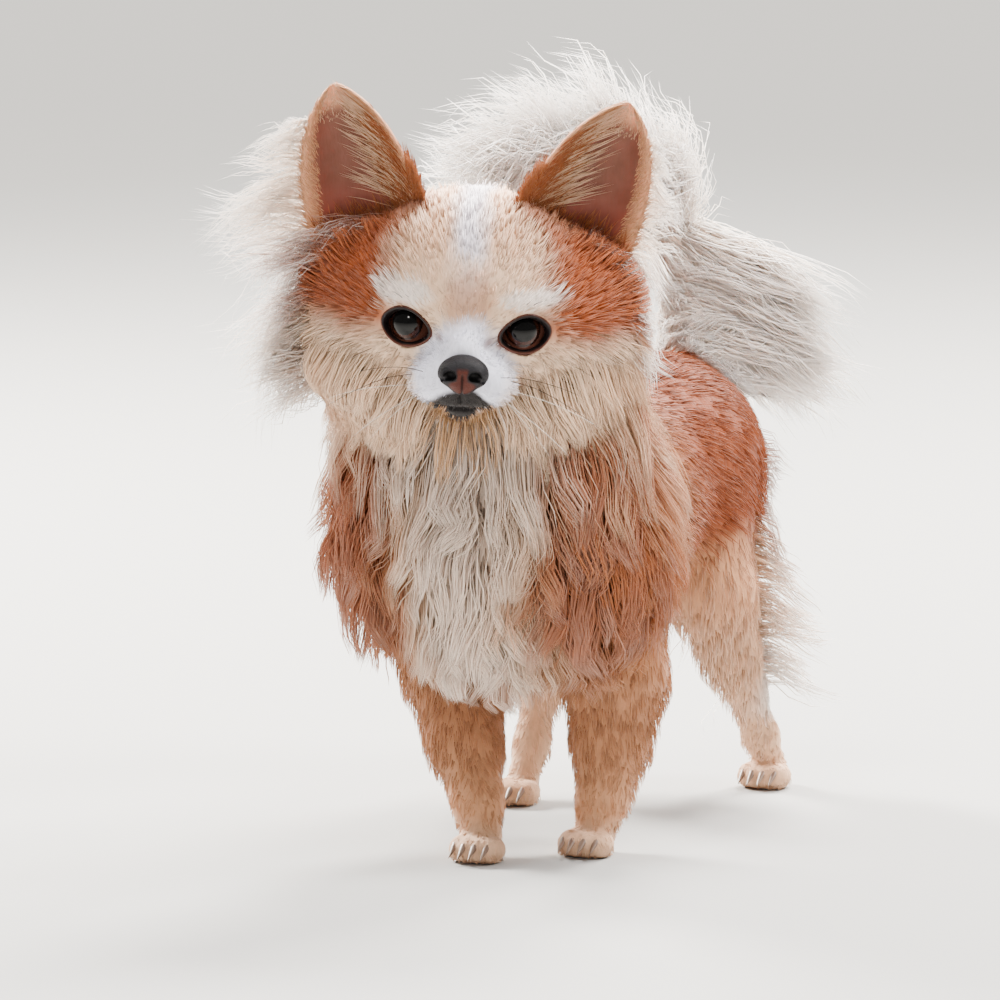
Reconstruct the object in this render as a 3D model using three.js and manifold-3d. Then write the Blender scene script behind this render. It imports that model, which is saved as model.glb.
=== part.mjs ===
// A long-haired chihuahua standing in mid step with its head turned to its left.
// Millimetres, +Z up. The dog faces -Y, its left side is +X, and its soles stand at z = 0.
import * as THREE from "three";
import { mergeVertices } from "three/addons/utils/BufferGeometryUtils.js";
import Module from "manifold-3d";

const wasm = await Module();
wasm.setup();

// Driving dimensions
const GAP = 0.3; // between neighbouring pieces
const SKULL_CENTRE = [3, -100, 205];
const HEAD_YAW = 21.7; // degrees, towards the dog's left
const HEAD_PITCH = 4; // degrees, nose down
const HEAD_ROLL = 3.5; // degrees, left ear lower
const SKULL_HALF_WIDTH = 37.5;
const SKULL_TOP = 39;
const NOSE_TIP = [0, -53.5, -15];
const NOSE_HALF = [8.8, 6.5, 7.4];
const EYE_RADIUS = 9.6;
const EYE_CENTRE = [20.2, -21.5, -4];
const EYE_OPENING = [17.5, 12]; // width and height between the lids
const EARS = {
  right: { side: -1, base: [38.5, 5, 22], tip: [53.5, 3, 75] },
  left: { side: 1, base: [33.5, 5, 23], tip: [51.5, 3, 75] },
};
const EAR_HALF_WIDTH = 22;
const EAR_CUP = 11; // depth of the cup behind its rims
const EAR_THICKNESS = 2.4;
const RIB_RADIUS = 45;
const LOIN_RADIUS = 40;
const RUMP_RADIUS = 37;
const BACK_AXIS = 122; // height of the trunk's middle line
const RUMP_AXIS = 133;
const CLAW_LENGTH = 5.5;
const CLAW_RADIUS = 1.4;

// Colours and finishes of the coat, skin and eyes
const FAWN = { color: 0xc98a55, roughness: 0.85, metalness: 0 };
const CREAM = { color: 0xe9d6bd, roughness: 0.85, metalness: 0 };
const TAIL_HAIR = { color: 0xd9b088, roughness: 0.85, metalness: 0 };
const EAR_SKIN = { color: 0xc79a86, roughness: 0.8, metalness: 0 };
const NOSE_SKIN = { color: 0x2b2220, roughness: 0.45, metalness: 0 };
const EYE_GLOSS = { color: 0x2a140c, roughness: 0.08, metalness: 0 };
const CLAW_HORN = { color: 0x4a3a32, roughness: 0.5, metalness: 0 };

const vec = (p) => new THREE.Vector3(...p);
const mirror = (p, side) => [p[0] * side, p[1], p[2]];
const lerp = (a, b, t) => a + (b - a) * t;
const LEFTWARDS = new THREE.Vector3(1, 0, 0);

// Frame of the head: x to the dog's left, y backwards, z up
const headTurn = new THREE.Matrix4()
  .makeRotationZ(THREE.MathUtils.degToRad(HEAD_YAW))
  .multiply(new THREE.Matrix4().makeRotationX(THREE.MathUtils.degToRad(HEAD_PITCH)))
  .multiply(new THREE.Matrix4().makeRotationY(THREE.MathUtils.degToRad(HEAD_ROLL)));
const headMatrix = new THREE.Matrix4().setPosition(...SKULL_CENTRE).multiply(headTurn);
const headInverse = headMatrix.clone().invert();

// Forms: a limb is a round that tapers from one place to the next, a mass is an ellipsoid
const limb = (places) =>
  places.slice(1).map((to, i) => {
    const from = places[i];
    return { a: vec(from), b: vec(to), ra: from[3], rb: to[3] };
  });
const mass = (centre, radii) => [{ c: vec(centre), r: vec(radii) }];
const pair = (make) => [-1, 1].flatMap(make);

const toPoint = new THREE.Vector3();
const along = new THREE.Vector3();
function formDistance(p, form) {
  if (form.c) {
    toPoint.subVectors(p, form.c).divide(form.r);
    const near = toPoint.length();
    const slope = toPoint.divide(form.r).length();
    return slope < 1e-9 ? -Math.min(form.r.x, form.r.y, form.r.z) : (near * (near - 1)) / slope;
  }
  along.subVectors(form.b, form.a);
  toPoint.subVectors(p, form.a);
  const t = THREE.MathUtils.clamp(toPoint.dot(along) / along.lengthSq(), 0, 1);
  return toPoint.addScaledVector(along, -t).length() - lerp(form.ra, form.rb, t);
}

// Distance to a blend of forms; each runs into the next over the blend's width
const blended = (forms, blend) => (p) => {
  let d = Infinity;
  for (const form of forms) {
    const e = formDistance(p, form);
    const h = Math.max(blend - Math.abs(d - e), 0) / blend;
    d = d === Infinity ? e : Math.min(d, e) - (h * h * blend) / 4;
  }
  return d;
};
const joined = (fields, blend) => (p) => {
  let d = fields[0](p);
  for (const field of fields.slice(1)) {
    const e = field(p);
    const h = Math.max(blend - Math.abs(d - e), 0) / blend;
    d = Math.min(d, e) - (h * h * blend) / 4;
  }
  return d;
};

// Head, in its own frame
const headForms = [
  ...mass([0, 3, SKULL_TOP - 32], [SKULL_HALF_WIDTH, 38, 32]),
  ...mass([0, -12, 10], [30, 24, 24]),
  ...pair((s) => mass([16 * s, -22, 5], [12, 9, 8])),
  ...pair((s) => mass([26 * s, -6, -13], [20, 22, 19])),
  ...mass([0, 2, -24], [30, 26, 18]),
  ...pair((s) => mass([38 * s, 6, -4], [18, 17, 25])),
];
const muzzleForms = [
  ...limb([[0, -20, -15, 17], [0, -36, -19, 11.5]]),
  ...pair((s) => mass([8.5 * s, -37, -22], [10.5, 9, 8.5])),
  ...limb([[0, -20, -2, 9], [0, -41, -9, 5.5]]),
  ...limb([[0, -22, -27, 11], [0, -35, -29.5, 6]]),
];
const headOnly = joined([blended(headForms, 14), blended(muzzleForms, 6)], 9);

// Neck with its mane, and the frill on the chest
const neckForms = [
  ...limb([[2, -84, 186, 33], [0, -66, 140, 40]]),
  ...limb([[-36, -82, 184, 16], [-32, -76, 122, 25]]),
  ...limb([[38, -74, 184, 14], [32, -72, 122, 25]]),
  ...limb([[5, -90, 150, 14], [2, -92, 112, 19], [0, -84, 86, 19]]),
  ...limb([[0, -62, 188, 22], [0, -38, 148, 28]]),
];
const neckField = blended(neckForms, 16);

const trunkForms = [
  ...limb([
    [0, -50, BACK_AXIS - 2, RIB_RADIUS],
    [0, 5, BACK_AXIS + 1, LOIN_RADIUS],
    [0, 58, RUMP_AXIS, RUMP_RADIUS],
    [0, 74, RUMP_AXIS - 1, RUMP_RADIUS - 1],
  ]),
  ...limb([[0, -66, 93, 26], [0, -8, 99, 26]]),
  ...pair((s) => limb([[30 * s, -58, 118, 27], [33 * s, -56, 92, 25]])),
  ...pair((s) => limb([[10 * s, 70, 128, 31], [14 * s, 66, 108, 25]])),
];
const trunkField = blended(trunkForms, 16);
const bodyField = joined([neckField, trunkField], 18);

// Legs, from the shoulder or hip down to the toes
const LEGS = {
  foreleg_right: {
    upper: [[-31, -60, 100, 25], [-27, -52, 66, 20]],
    middle: [[-27, -52, 66, 20], [-18, -62, 40, 14.5], [-8, -72, 20, 10]],
    foot: [[-8, -72, 20, 10], [-3.5, -78, 7.5, 9]],
    toes: [-2, -84, 6],
  },
  foreleg_left: {
    upper: [[31, -56, 100, 25], [34, -44, 66, 20]],
    middle: [[34, -44, 66, 20], [33, -45, 42, 15], [31, -47, 21, 10.5]],
    foot: [[31, -47, 21, 10.5], [29, -51, 7.5, 9]],
    toes: [29, -57, 6],
  },
  hindleg_right: {
    upper: [[-17, 64, 114, 24], [-33, 42, 80, 17]],
    middle: [[-33, 42, 80, 17], [-38, 48, 58, 12], [-41, 56, 41, 8.5]],
    foot: [[-41, 56, 41, 8.5], [-41, 47, 21, 7.4], [-41, 38, 6.5, 7.8]],
    toes: [-41, 31, 6],
  },
  hindleg_left: {
    upper: [[16, 66, 114, 25], [27, 62, 82, 17]],
    middle: [[27, 62, 82, 17], [28, 76, 57, 12], [28, 91, 41, 8.6]],
    foot: [[28, 91, 41, 8.6], [29.5, 103, 21, 7.4], [31, 111, 6.5, 7.8]],
    toes: [31, 105, 6],
  },
};
const legField = (leg) => {
  const forms = [...limb(leg.upper), ...limb(leg.middle), ...limb(leg.foot)];
  return blended(forms, 7);
};

// Tail: it rises from the croup, arches forward over the back and hangs to the right
const TAIL = [
  [2, 84, 150, 13],
  [0, 100, 176, 10],
  [-4, 99, 205, 9],
  [-8, 84, 232, 9],
  [-18, 60, 245, 8.5],
  [-32, 38, 246, 8],
  [-44, 24, 238, 6],
];
const tailField = blended(limb(TAIL), 8);

// Joins and cuts on closed solids
function solidOf(geometry) {
  const bare = new THREE.BufferGeometry().setAttribute("position", geometry.getAttribute("position"));
  if (geometry.index) bare.setIndex(geometry.index);
  const merged = mergeVertices(bare, 1e-4);
  return new wasm.Manifold(
    new wasm.Mesh({
      numProp: 3,
      vertProperties: new Float32Array(merged.attributes.position.array),
      triVerts: new Uint32Array(merged.index.array),
    }),
  );
}
function geometryOf(solid) {
  const mesh = solid.getMesh();
  const geometry = new THREE.BufferGeometry();
  geometry.setAttribute("position", new THREE.BufferAttribute(mesh.vertProperties, mesh.numProp));
  geometry.setIndex(new THREE.BufferAttribute(mesh.triVerts, 1));
  const flat = geometry.toNonIndexed();
  flat.computeVertexNormals();
  return flat;
}
const largest = (solid) => solid.decompose().sort((a, b) => b.volume() - a.volume())[0];
const BLOCK = 600; // larger than the dog

// A block whose face lies at a place, on the side its normal points to
function blockBeyond(place, normal) {
  const n = vec(normal).normalize();
  const turn = new THREE.Quaternion().setFromUnitVectors(new THREE.Vector3(0, 0, 1), n);
  const geometry = new THREE.BoxGeometry(BLOCK, BLOCK, BLOCK).translate(0, 0, BLOCK / 2);
  geometry.applyQuaternion(turn).translate(...place);
  return solidOf(geometry);
}
const cutAway = (solid, place, normal) => solid.subtract(blockBeyond(place, normal));

// Where a ray from inside leaves a field; offset moves the skin outwards
const RAY_STEP = 1.5;
const probe = new THREE.Vector3();
function reach(field, from, direction, most, offset) {
  let low = 0;
  let high = most;
  for (let r = RAY_STEP; r < most; r += RAY_STEP) {
    if (field(probe.copy(from).addScaledVector(direction, r)) > offset) {
      low = r - RAY_STEP;
      high = r;
      break;
    }
    low = r;
  }
  for (let i = 0; i < 12; i += 1) {
    const middle = (low + high) / 2;
    if (field(probe.copy(from).addScaledVector(direction, middle)) > offset) high = middle;
    else low = middle;
  }
  return (low + high) / 2;
}

// A closed skin of rings of points, with a pole at each end
function skinOf(rings, startPole, endPole) {
  const sides = rings[0].length;
  const points = [...rings.flat(), startPole, endPole];
  const index = [];
  const start = points.length - 2;
  const end = points.length - 1;
  const last = (rings.length - 1) * sides;
  for (let j = 0; j < sides; j += 1) {
    const k = (j + 1) % sides;
    index.push(start, k, j, end, last + j, last + k);
    for (let i = 0; i < rings.length - 1; i += 1) {
      const low = i * sides;
      const high = low + sides;
      index.push(low + j, low + k, high + k, low + j, high + k, high + j);
    }
  }
  const geometry = new THREE.BufferGeometry().setFromPoints(points);
  geometry.setIndex(index);
  const solid = solidOf(geometry);
  return solid.volume() > 0 ? solid : solidOf(flipped(geometry));
}
function flipped(geometry) {
  const turned = geometry.clone();
  const order = turned.index.array;
  for (let i = 0; i < order.length; i += 3) [order[i + 1], order[i + 2]] = [order[i + 2], order[i + 1]];
  return turned;
}

// A length of the body between flat ends: each station has a place and the normal of its section
const MOST_REACH = 90;
function sectionAt(stations, share) {
  const s = share * (stations.length - 1);
  const n = Math.min(Math.floor(s), stations.length - 2);
  const centre = vec(stations[n].at).lerp(vec(stations[n + 1].at), s - n);
  const normal = vec(stations[n].normal).normalize().lerp(vec(stations[n + 1].normal).normalize(), s - n);
  return { centre, normal: normal.normalize(), tilt: 0 };
}

// Direction out of a section; a quarter turn from the dog's left is down or forward
function outward({ normal, tilt }, turn) {
  const v = new THREE.Vector3().crossVectors(normal, LEFTWARDS).normalize();
  const u = new THREE.Vector3().crossVectors(v, normal);
  const out = u.multiplyScalar(Math.cos(turn)).addScaledVector(v, Math.sin(turn));
  return out.multiplyScalar(Math.cos(tilt)).addScaledVector(normal, Math.sin(tilt));
}
function castLength({ field, stations, rings, sides, dome = 0, offset = 0 }) {
  const sections = Array.from({ length: rings }, (_, i) => sectionAt(stations, i / (rings - 1)));
  const end = sections[rings - 1];
  for (let i = 1; i < dome; i += 1) sections.push({ ...end, tilt: ((i / dome) * Math.PI) / 2 });
  const loops = sections.map((section) =>
    Array.from({ length: sides }, (_, j) => {
      const out = outward(section, (j / sides) * 2 * Math.PI);
      const far = reach(field, section.centre, out, MOST_REACH, offset);
      return section.centre.clone().addScaledVector(out, far);
    }),
  );
  const tip = end.centre.clone();
  if (dome) tip.addScaledVector(end.normal, reach(field, end.centre, end.normal, MOST_REACH, offset));
  return skinOf(loops, sections[0].centre.clone(), tip);
}

// A rounded form seen from its middle: rows from pole to pole along an axis, columns about it
function castBall({ field, centre, axis, side, rows, columns, offset = 0 }) {
  const pole = vec(axis).normalize();
  const v = new THREE.Vector3().crossVectors(pole, vec(side)).normalize();
  const u = new THREE.Vector3().crossVectors(v, pole);
  const from = vec(centre);
  const loops = [];
  for (let i = 1; i < rows; i += 1) {
    const tilt = Math.PI * (i / rows - 0.5);
    loops.push(
      Array.from({ length: columns }, (_, j) => {
        const turn = (j / columns) * 2 * Math.PI;
        const out = u.clone().multiplyScalar(Math.cos(turn)).addScaledVector(v, Math.sin(turn));
        out.multiplyScalar(Math.cos(tilt)).addScaledVector(pole, Math.sin(tilt));
        return from.clone().addScaledVector(out, reach(field, from, out, MOST_REACH, offset));
      }),
    );
  }
  const ends = [-1, 1].map((s) => {
    const out = pole.clone().multiplyScalar(s);
    return from.clone().addScaledVector(out, reach(field, from, out, MOST_REACH, offset));
  });
  return skinOf(loops, ends[0], ends[1]);
}

// Locks of the long coat: flat, tapered, rooted in a core and bent along the lie
const LOCK_STEPS = 3;
const LOCK_SINK = 3; // depth of the root in the core
const LOCK_SIDES = 4;
const sequence = { seed: 20 };
function random() {
  sequence.seed = (sequence.seed * 16807) % 2147483647;
  return sequence.seed / 2147483647;
}
const varied = (size, share) => size * (1 + share * (2 * random() - 1));

// Outward normal of a field
function normalAt(field, p) {
  const STEP = 0.5;
  const here = field(p);
  const slope = [0, 1, 2].map((axis) => {
    const q = p.clone();
    q.setComponent(axis, q.getComponent(axis) + STEP);
    return field(q) - here;
  });
  return vec(slope).normalize();
}

// The path of a lock over a core, from a root on it; lie gives the direction at a place and share of length
function lockPath({ field, root, lie, length, rise }) {
  const normal = normalAt(field, root);
  const places = [root.clone().addScaledVector(normal, -LOCK_SINK)];
  let p = root.clone();
  for (let i = 1; i <= LOCK_STEPS; i += 1) {
    const t = i / LOCK_STEPS;
    p = p.clone().addScaledVector(lie(p, t), length / LOCK_STEPS);
    const height = field(p);
    const least = rise * t;
    if (height < least) p.addScaledVector(normalAt(field, p), least - height);
    places.push(p);
  }
  return { places, normal };
}

// The lock itself; grow gives the same lock larger all round, to clear its neighbours by
function lockSolid({ places, normal }, { width, thickness }, grow = 0) {
  const loops = [];
  const flat = normal.clone();
  for (let i = 0; i < LOCK_STEPS; i += 1) {
    const t = i / LOCK_STEPS;
    const ahead = places[i + 1].clone().sub(places[Math.max(i - 1, 0)]).normalize();
    flat.addScaledVector(ahead, -flat.dot(ahead)).normalize();
    const across = new THREE.Vector3().crossVectors(ahead, flat);
    const share = i === 0 ? 0.75 : 1 - 0.45 * t * t;
    const half = (width / 2) * share + grow;
    const deep = (thickness / 2) * share + grow;
    loops.push(
      Array.from({ length: LOCK_SIDES }, (_, j) => {
        const turn = (j / LOCK_SIDES) * 2 * Math.PI;
        const p = places[i].clone().addScaledVector(across, half * Math.cos(turn));
        return p.addScaledVector(flat, deep * Math.sin(turn));
      }),
    );
  }
  const tip = places[LOCK_STEPS].clone();
  tip.addScaledVector(places[LOCK_STEPS].clone().sub(places[LOCK_STEPS - 1]).normalize(), 2 * grow);
  return skinOf(loops, places[0].clone(), tip);
}

const dog = new THREE.Group();
const headGroup = new THREE.Group();
headGroup.applyMatrix4(headMatrix);
dog.add(headGroup);
function addPiece(group, name, solid, look) {
  const closed = largest(solidOf(geometryOf(largest(solid))));
  const mesh = new THREE.Mesh(geometryOf(closed), new THREE.MeshStandardMaterial(look));
  mesh.name = name;
  group.add(mesh);
  return mesh;
}

// Planes that part the body, each with its normal towards the tail or the foot
const HEAD_CUT = { at: [0, 14, -22], normal: [0, 0.6, -0.8] }; // in the head's frame
const MUZZLE_CUT = { at: [0, -35, -10], normal: [0, -0.8, -0.6] }; // in the head's frame
const CHEST_CUT = { at: [0, -62, 126], normal: [0, 0.674, -0.739] };
const LOIN_CUT = { at: [0, 0, 120], normal: [0, 1, 0] };
const RUMP_CUT = { at: [0, 46, 128], normal: [0, 1, 0] };
const shifted = (cut, distance) => ({
  at: vec(cut.at).addScaledVector(vec(cut.normal).normalize(), distance).toArray(),
  normal: cut.normal,
});
const headCutInBody = {
  at: vec(HEAD_CUT.at).applyMatrix4(headMatrix).toArray(),
  normal: vec(HEAD_CUT.normal).applyMatrix4(headTurn).toArray(),
};

const inHead = new THREE.Vector3();
const inBody = new THREE.Vector3();
const wholeFromHead = joined([headOnly, (p) => neckField(inBody.copy(p).applyMatrix4(headMatrix))], 12);
const wholeFromBody = joined([bodyField, (p) => headOnly(inHead.copy(p).applyMatrix4(headInverse))], 12);

// Eye, and the socket and almond opening that its lids leave
const LID_THICKNESS = 1.7;
const LID_SIDES = 14;
const eyeBall = (side, radius) => {
  const geometry = new THREE.SphereGeometry(radius, 14, 9).rotateX(Math.PI / 2);
  return geometry.translate(...mirror(EYE_CENTRE, side));
};

// Direction from the eye's centre through a point of the almond, grown by a factor
function lidDirection(side, turn, grow) {
  const across = (EYE_OPENING[0] / 2) * Math.cos(turn) * grow;
  const corner = 1 - 0.3 * Math.cos(turn) ** 2;
  const height = (EYE_OPENING[1] / 2) * Math.sin(turn) * corner * grow;
  const gaze = new THREE.Vector3(0.28, -1, -0.02).normalize();
  const wide = new THREE.Vector3(1, 0.28, 0.08).normalize();
  const high = new THREE.Vector3().crossVectors(wide, gaze).normalize();
  const out = gaze.multiplyScalar(EYE_RADIUS * 0.8);
  out.addScaledVector(wide, across).addScaledVector(high, height);
  out.x *= side;
  return out.normalize();
}
function lidRing(side) {
  const centre = vec(mirror(EYE_CENTRE, side));
  const loop = (grow, radius) =>
    Array.from({ length: LID_SIDES }, (_, j) => {
      const turn = (j / LID_SIDES) * 2 * Math.PI;
      return centre.clone().addScaledVector(lidDirection(side, turn, grow), radius);
    });
  const inner = EYE_RADIUS + GAP;
  const outer = inner + LID_THICKNESS;
  const loops = [loop(1, inner), loop(1.05, outer - 0.4), loop(1.3, outer), loop(1.9, inner)];
  return ringOf(loops);
}

// A closed ring whose section is a loop of loops
function ringOf(loops) {
  const sides = loops[0].length;
  const index = [];
  for (let i = 0; i < loops.length; i += 1) {
    const low = i * sides;
    const high = ((i + 1) % loops.length) * sides;
    for (let j = 0; j < sides; j += 1) {
      const k = (j + 1) % sides;
      index.push(low + j, low + k, high + k, low + j, high + k, high + j);
    }
  }
  const geometry = new THREE.BufferGeometry().setFromPoints(loops.flat());
  geometry.setIndex(index);
  const solid = solidOf(geometry);
  return solid.volume() > 0 ? solid : solidOf(flipped(geometry));
}
function almondCone(side) {
  const centre = vec(mirror(EYE_CENTRE, side));
  const far = 26;
  const rim = Array.from({ length: LID_SIDES }, (_, j) => {
    const turn = (j / LID_SIDES) * 2 * Math.PI;
    return centre.clone().addScaledVector(lidDirection(side, turn, 1), far);
  });
  return skinOf([rim], centre, centre.clone().addScaledVector(lidDirection(side, 0, 0), far));
}

// Cupped ear: a thin shell that narrows to a rounded tip, with its rims forward
const EAR_ROWS = 8;
const EAR_COLUMNS = 7;
function earPlace(ear, s, t, depth, grow = 0) {
  const base = vec(ear.base);
  const up = vec(ear.tip).sub(base);
  const across = new THREE.Vector3(1, 0.3, -0.3).normalize();
  const back = new THREE.Vector3().crossVectors(across, up).normalize();
  if (back.y < 0) back.negate();
  const half = EAR_HALF_WIDTH * (1 - t ** 2.6) ** 0.75 + grow;
  const cup = EAR_CUP * (1 - s * s) * (half / EAR_HALF_WIDTH) ** 0.8 + depth;
  const p = base.addScaledVector(up, t).addScaledVector(across, s * half).addScaledVector(back, cup);
  p.x *= ear.side;
  return p;
}
function earShell(ear, grow = 0) {
  const place = (s, t, depth) => earPlace(ear, s, t, depth, grow);
  const up = vec(ear.tip).sub(vec(ear.base));
  const rows = Array.from({ length: EAR_ROWS }, (_, i) => lerp(-0.12, 0.985, (i / (EAR_ROWS - 1)) ** 0.85));
  const columns = Array.from({ length: EAR_COLUMNS + 1 }, (_, j) => -Math.cos((j / EAR_COLUMNS) * Math.PI));
  const loops = rows.map((t) => {
    const safe = Math.max(t, 0);
    const front = columns.map((s) => place(s, safe, -EAR_THICKNESS / 2 - grow));
    const rear = columns.map((s) => place(s, safe, EAR_THICKNESS / 2 + grow)).reverse();
    const loop = [...front, ...rear];
    if (t < 0) loop.forEach((p) => p.add(new THREE.Vector3(up.x * ear.side, up.y, up.z).multiplyScalar(t)));
    return loop;
  });
  const middle = (loop) => loop.reduce((sum, p) => sum.add(p), new THREE.Vector3()).divideScalar(loop.length);
  return skinOf(loops, middle(loops[0]), middle(loops[EAR_ROWS - 1]));
}

// The head whole, then its muzzle and lower jaw parted from it
function mouthBlock(rise) {
  const MOUTH_HEIGHT = -28.3;
  const MOUTH_SAG = 2.4; // drop of the lips at 12 mm from the middle
  const shape = new THREE.Shape();
  const HALF = 40;
  shape.moveTo(-HALF, -90);
  shape.lineTo(HALF, -90);
  for (let x = 18; x >= -18; x -= 3) {
    const drop = MOUTH_SAG * Math.min((x / 12) ** 2, 1.5);
    shape.lineTo(x === 18 ? HALF : x === -18 ? -HALF : x, MOUTH_HEIGHT - drop + rise);
  }
  const geometry = new THREE.ExtrudeGeometry(shape, { depth: 90, bevelEnabled: false });
  return solidOf(geometry.rotateX(Math.PI / 2));
}
const noseField = (p) => {
  const leather = mass([NOSE_TIP[0], NOSE_TIP[1] + NOSE_HALF[1], NOSE_TIP[2]], NOSE_HALF)[0];
  const lower = mass([0, NOSE_TIP[1] + 7.5, NOSE_TIP[2] - 5], [4.6, 5.5, 5])[0];
  const d = formDistance(p, leather);
  const e = formDistance(p, lower);
  const h = Math.max(4 - Math.abs(d - e), 0) / 4;
  return Math.min(d, e) - h * h;
};
const noseSolid = (offset) =>
  castBall({
    field: noseField,
    centre: [0, NOSE_TIP[1] + 6.5, NOSE_TIP[2]],
    axis: [0, 0, 1],
    side: [1, 0, 0],
    rows: 8,
    columns: 12,
    offset,
  });
function nostril(side) {
  const curve = new THREE.CatmullRomCurve3([
    new THREE.Vector3(4.2 * side, -56, -14.2),
    new THREE.Vector3(4.5 * side, -51.5, -14),
    new THREE.Vector3(7.2 * side, -50, -15.2),
    new THREE.Vector3(10.5 * side, -49.5, -16.6),
  ]);
  const section = new THREE.Shape().absellipse(0, 0, 1.5, 1.9, 0, 2 * Math.PI);
  return solidOf(new THREE.ExtrudeGeometry(section, { steps: 6, curveSegments: 3, extrudePath: curve }));
}

const headCast = {
  field: wholeFromHead,
  centre: [0, 0, 2],
  axis: [0, -1, -0.35],
  side: [1, 0, 0],
  rows: 19,
  columns: 22,
};
const headWhole = castBall(headCast);
let head = cutAway(headWhole, shifted(HEAD_CUT, -GAP / 2).at, HEAD_CUT.normal);
function muzzleCast(offset) {
  const whole = castLength({
    field: headOnly,
    stations: [
      { at: [0, -29, -16], normal: MUZZLE_CUT.normal },
      { at: [0, -41, -19], normal: [0, -1, -0.1] },
    ],
    rings: 4,
    sides: 18,
    dome: 4,
    offset,
  });
  return cutAway(whole, shifted(MUZZLE_CUT, GAP / 2 - offset).at, MUZZLE_CUT.normal.map((n) => -n));
}
const muzzleWhole = muzzleCast(0);
head = cutAway(head, shifted(MUZZLE_CUT, -GAP / 2).at, MUZZLE_CUT.normal);
for (const side of [-1, 1]) {
  const socket = solidOf(eyeBall(side, EYE_RADIUS + GAP));
  head = head.add(lidRing(side)).subtract(socket).subtract(almondCone(side));
}
const upperMuzzle = muzzleWhole.subtract(mouthBlock(GAP / 2)).subtract(noseSolid(GAP));
const lowerJaw = muzzleWhole.intersect(mouthBlock(-GAP / 2)).subtract(noseSolid(GAP));
const nose = [-1, 1].reduce((solid, side) => solid.subtract(nostril(side)), noseSolid(0));

// Neck, chest, loin and rump
const lengths = {
  neck: {
    field: wholeFromBody,
    stations: [shifted(headCutInBody, GAP / 2), shifted(CHEST_CUT, -GAP / 2)],
    rings: 6,
    sides: 20,
  },
  chest: {
    field: bodyField,
    stations: [
      shifted(CHEST_CUT, GAP / 2),
      { at: [0, -20, 111], normal: [0, 0.95, -0.31] },
      shifted(LOIN_CUT, -GAP / 2),
    ],
    rings: 7,
    sides: 20,
  },
  loin: {
    field: bodyField,
    stations: [shifted(LOIN_CUT, GAP / 2), shifted(RUMP_CUT, -GAP / 2)],
    rings: 4,
    sides: 18,
  },
  rump: {
    field: bodyField,
    stations: [shifted(RUMP_CUT, GAP / 2), { at: [0, 72, 130], normal: [0, 1, 0] }],
    rings: 3,
    sides: 18,
    dome: 4,
  },
};

// Toes of a paw, with the claws in front of them
const TOE = { radii: [4.3, 7.5, 5.2], spread: 4.2 };
const toeCentre = (leg, n) => {
  const across = n - 1.5;
  const [x, y, z] = leg.toes;
  const ahead = 3.5 - 1.6 * Math.abs(across);
  return [x + across * TOE.spread, y - ahead, z - 1.4];
};
function pawOf(field, leg, ankle) {
  const [x, y] = leg.foot.at(-1);
  const sole = castLength({
    field,
    stations: [ankle, { at: [x, y, 7], normal: [0, -0.35, -1] }],
    rings: 3,
    sides: 10,
    dome: 3,
  });
  let paw = sole;
  for (let n = 0; n < 4; n += 1) {
    const toe = new THREE.SphereGeometry(1, 6, 6).scale(...TOE.radii).translate(...toeCentre(leg, n));
    paw = paw.add(solidOf(toe));
  }
  return cutAway(paw, [0, 0, 0], [0, 0, -1]);
}
function clawOf(leg, n, paw) {
  const [x, y, z] = toeCentre(leg, n);
  const cone = new THREE.ConeGeometry(CLAW_RADIUS, CLAW_LENGTH + 3, 5);
  cone.rotateX(Math.PI / 2 + 0.45).scale(1, -1, 1);
  cone.translate(x, y - TOE.radii[1] - CLAW_LENGTH / 2 + 2.2, z + 0.4);
  const solid = solidOf(cone);
  const upright = solid.volume() > 0 ? solid : solidOf(flipped(cone));
  return cutAway(upright.subtract(paw), [0, 0, 0.2], [0, 0, -1]);
}

// The lengths of a leg, and the planes that part them
const MIDLINE_CLEARANCE = 4; // between a leg and the middle plane of the body
const ROOT_FLARE = 5; // how far a leg spreads where it runs into the trunk
const direction = (from, to) => vec(to.slice(0, 3)).sub(vec(from.slice(0, 3))).normalize().toArray();
function legLengths(name, leg) {
  const bare = legField(leg);
  const rooted = joined([bare, trunkField], 12);
  const field = (p) => Math.max(rooted(p), bare(p) - ROOT_FLARE);
  const knee = leg.middle[0];
  const ankle = leg.foot[0];
  const kneeNormal = vec(direction(leg.upper[0], knee)).add(vec(direction(knee, leg.middle[1]))).toArray();
  const ankleNormal = vec(direction(leg.middle[1], ankle)).add(vec(direction(ankle, leg.foot[1]))).toArray();
  const kneeCut = { at: knee.slice(0, 3), normal: kneeNormal };
  const ankleCut = { at: ankle.slice(0, 3), normal: ankleNormal };
  const top = { at: leg.upper[0].slice(0, 3), normal: direction(leg.upper[0], knee) };
  const bend = { at: leg.middle[1].slice(0, 3), normal: ankleNormal };
  const shank = [shifted(kneeCut, GAP / 2), bend, shifted(ankleCut, -GAP / 2)];
  const fore = name.startsWith("foreleg");
  return {
    upperName: `${name}_${fore ? "upper_arm" : "thigh"}`,
    middleName: `${name}_${fore ? "forearm" : "shank"}`,
    upper: { field, stations: [top, shifted(kneeCut, -GAP / 2)], rings: 4, sides: 12 },
    middle: { field: bare, stations: shank, rings: 5, sides: 10 },
    bare,
    ankle: shifted(ankleCut, GAP / 2),
    side: Math.sign(knee[0]),
  };
}
const oneSided = (solid, side) => cutAway(solid, [side * MIDLINE_CLEARANCE, 0, 0], [-side, 0, 0]);

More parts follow.
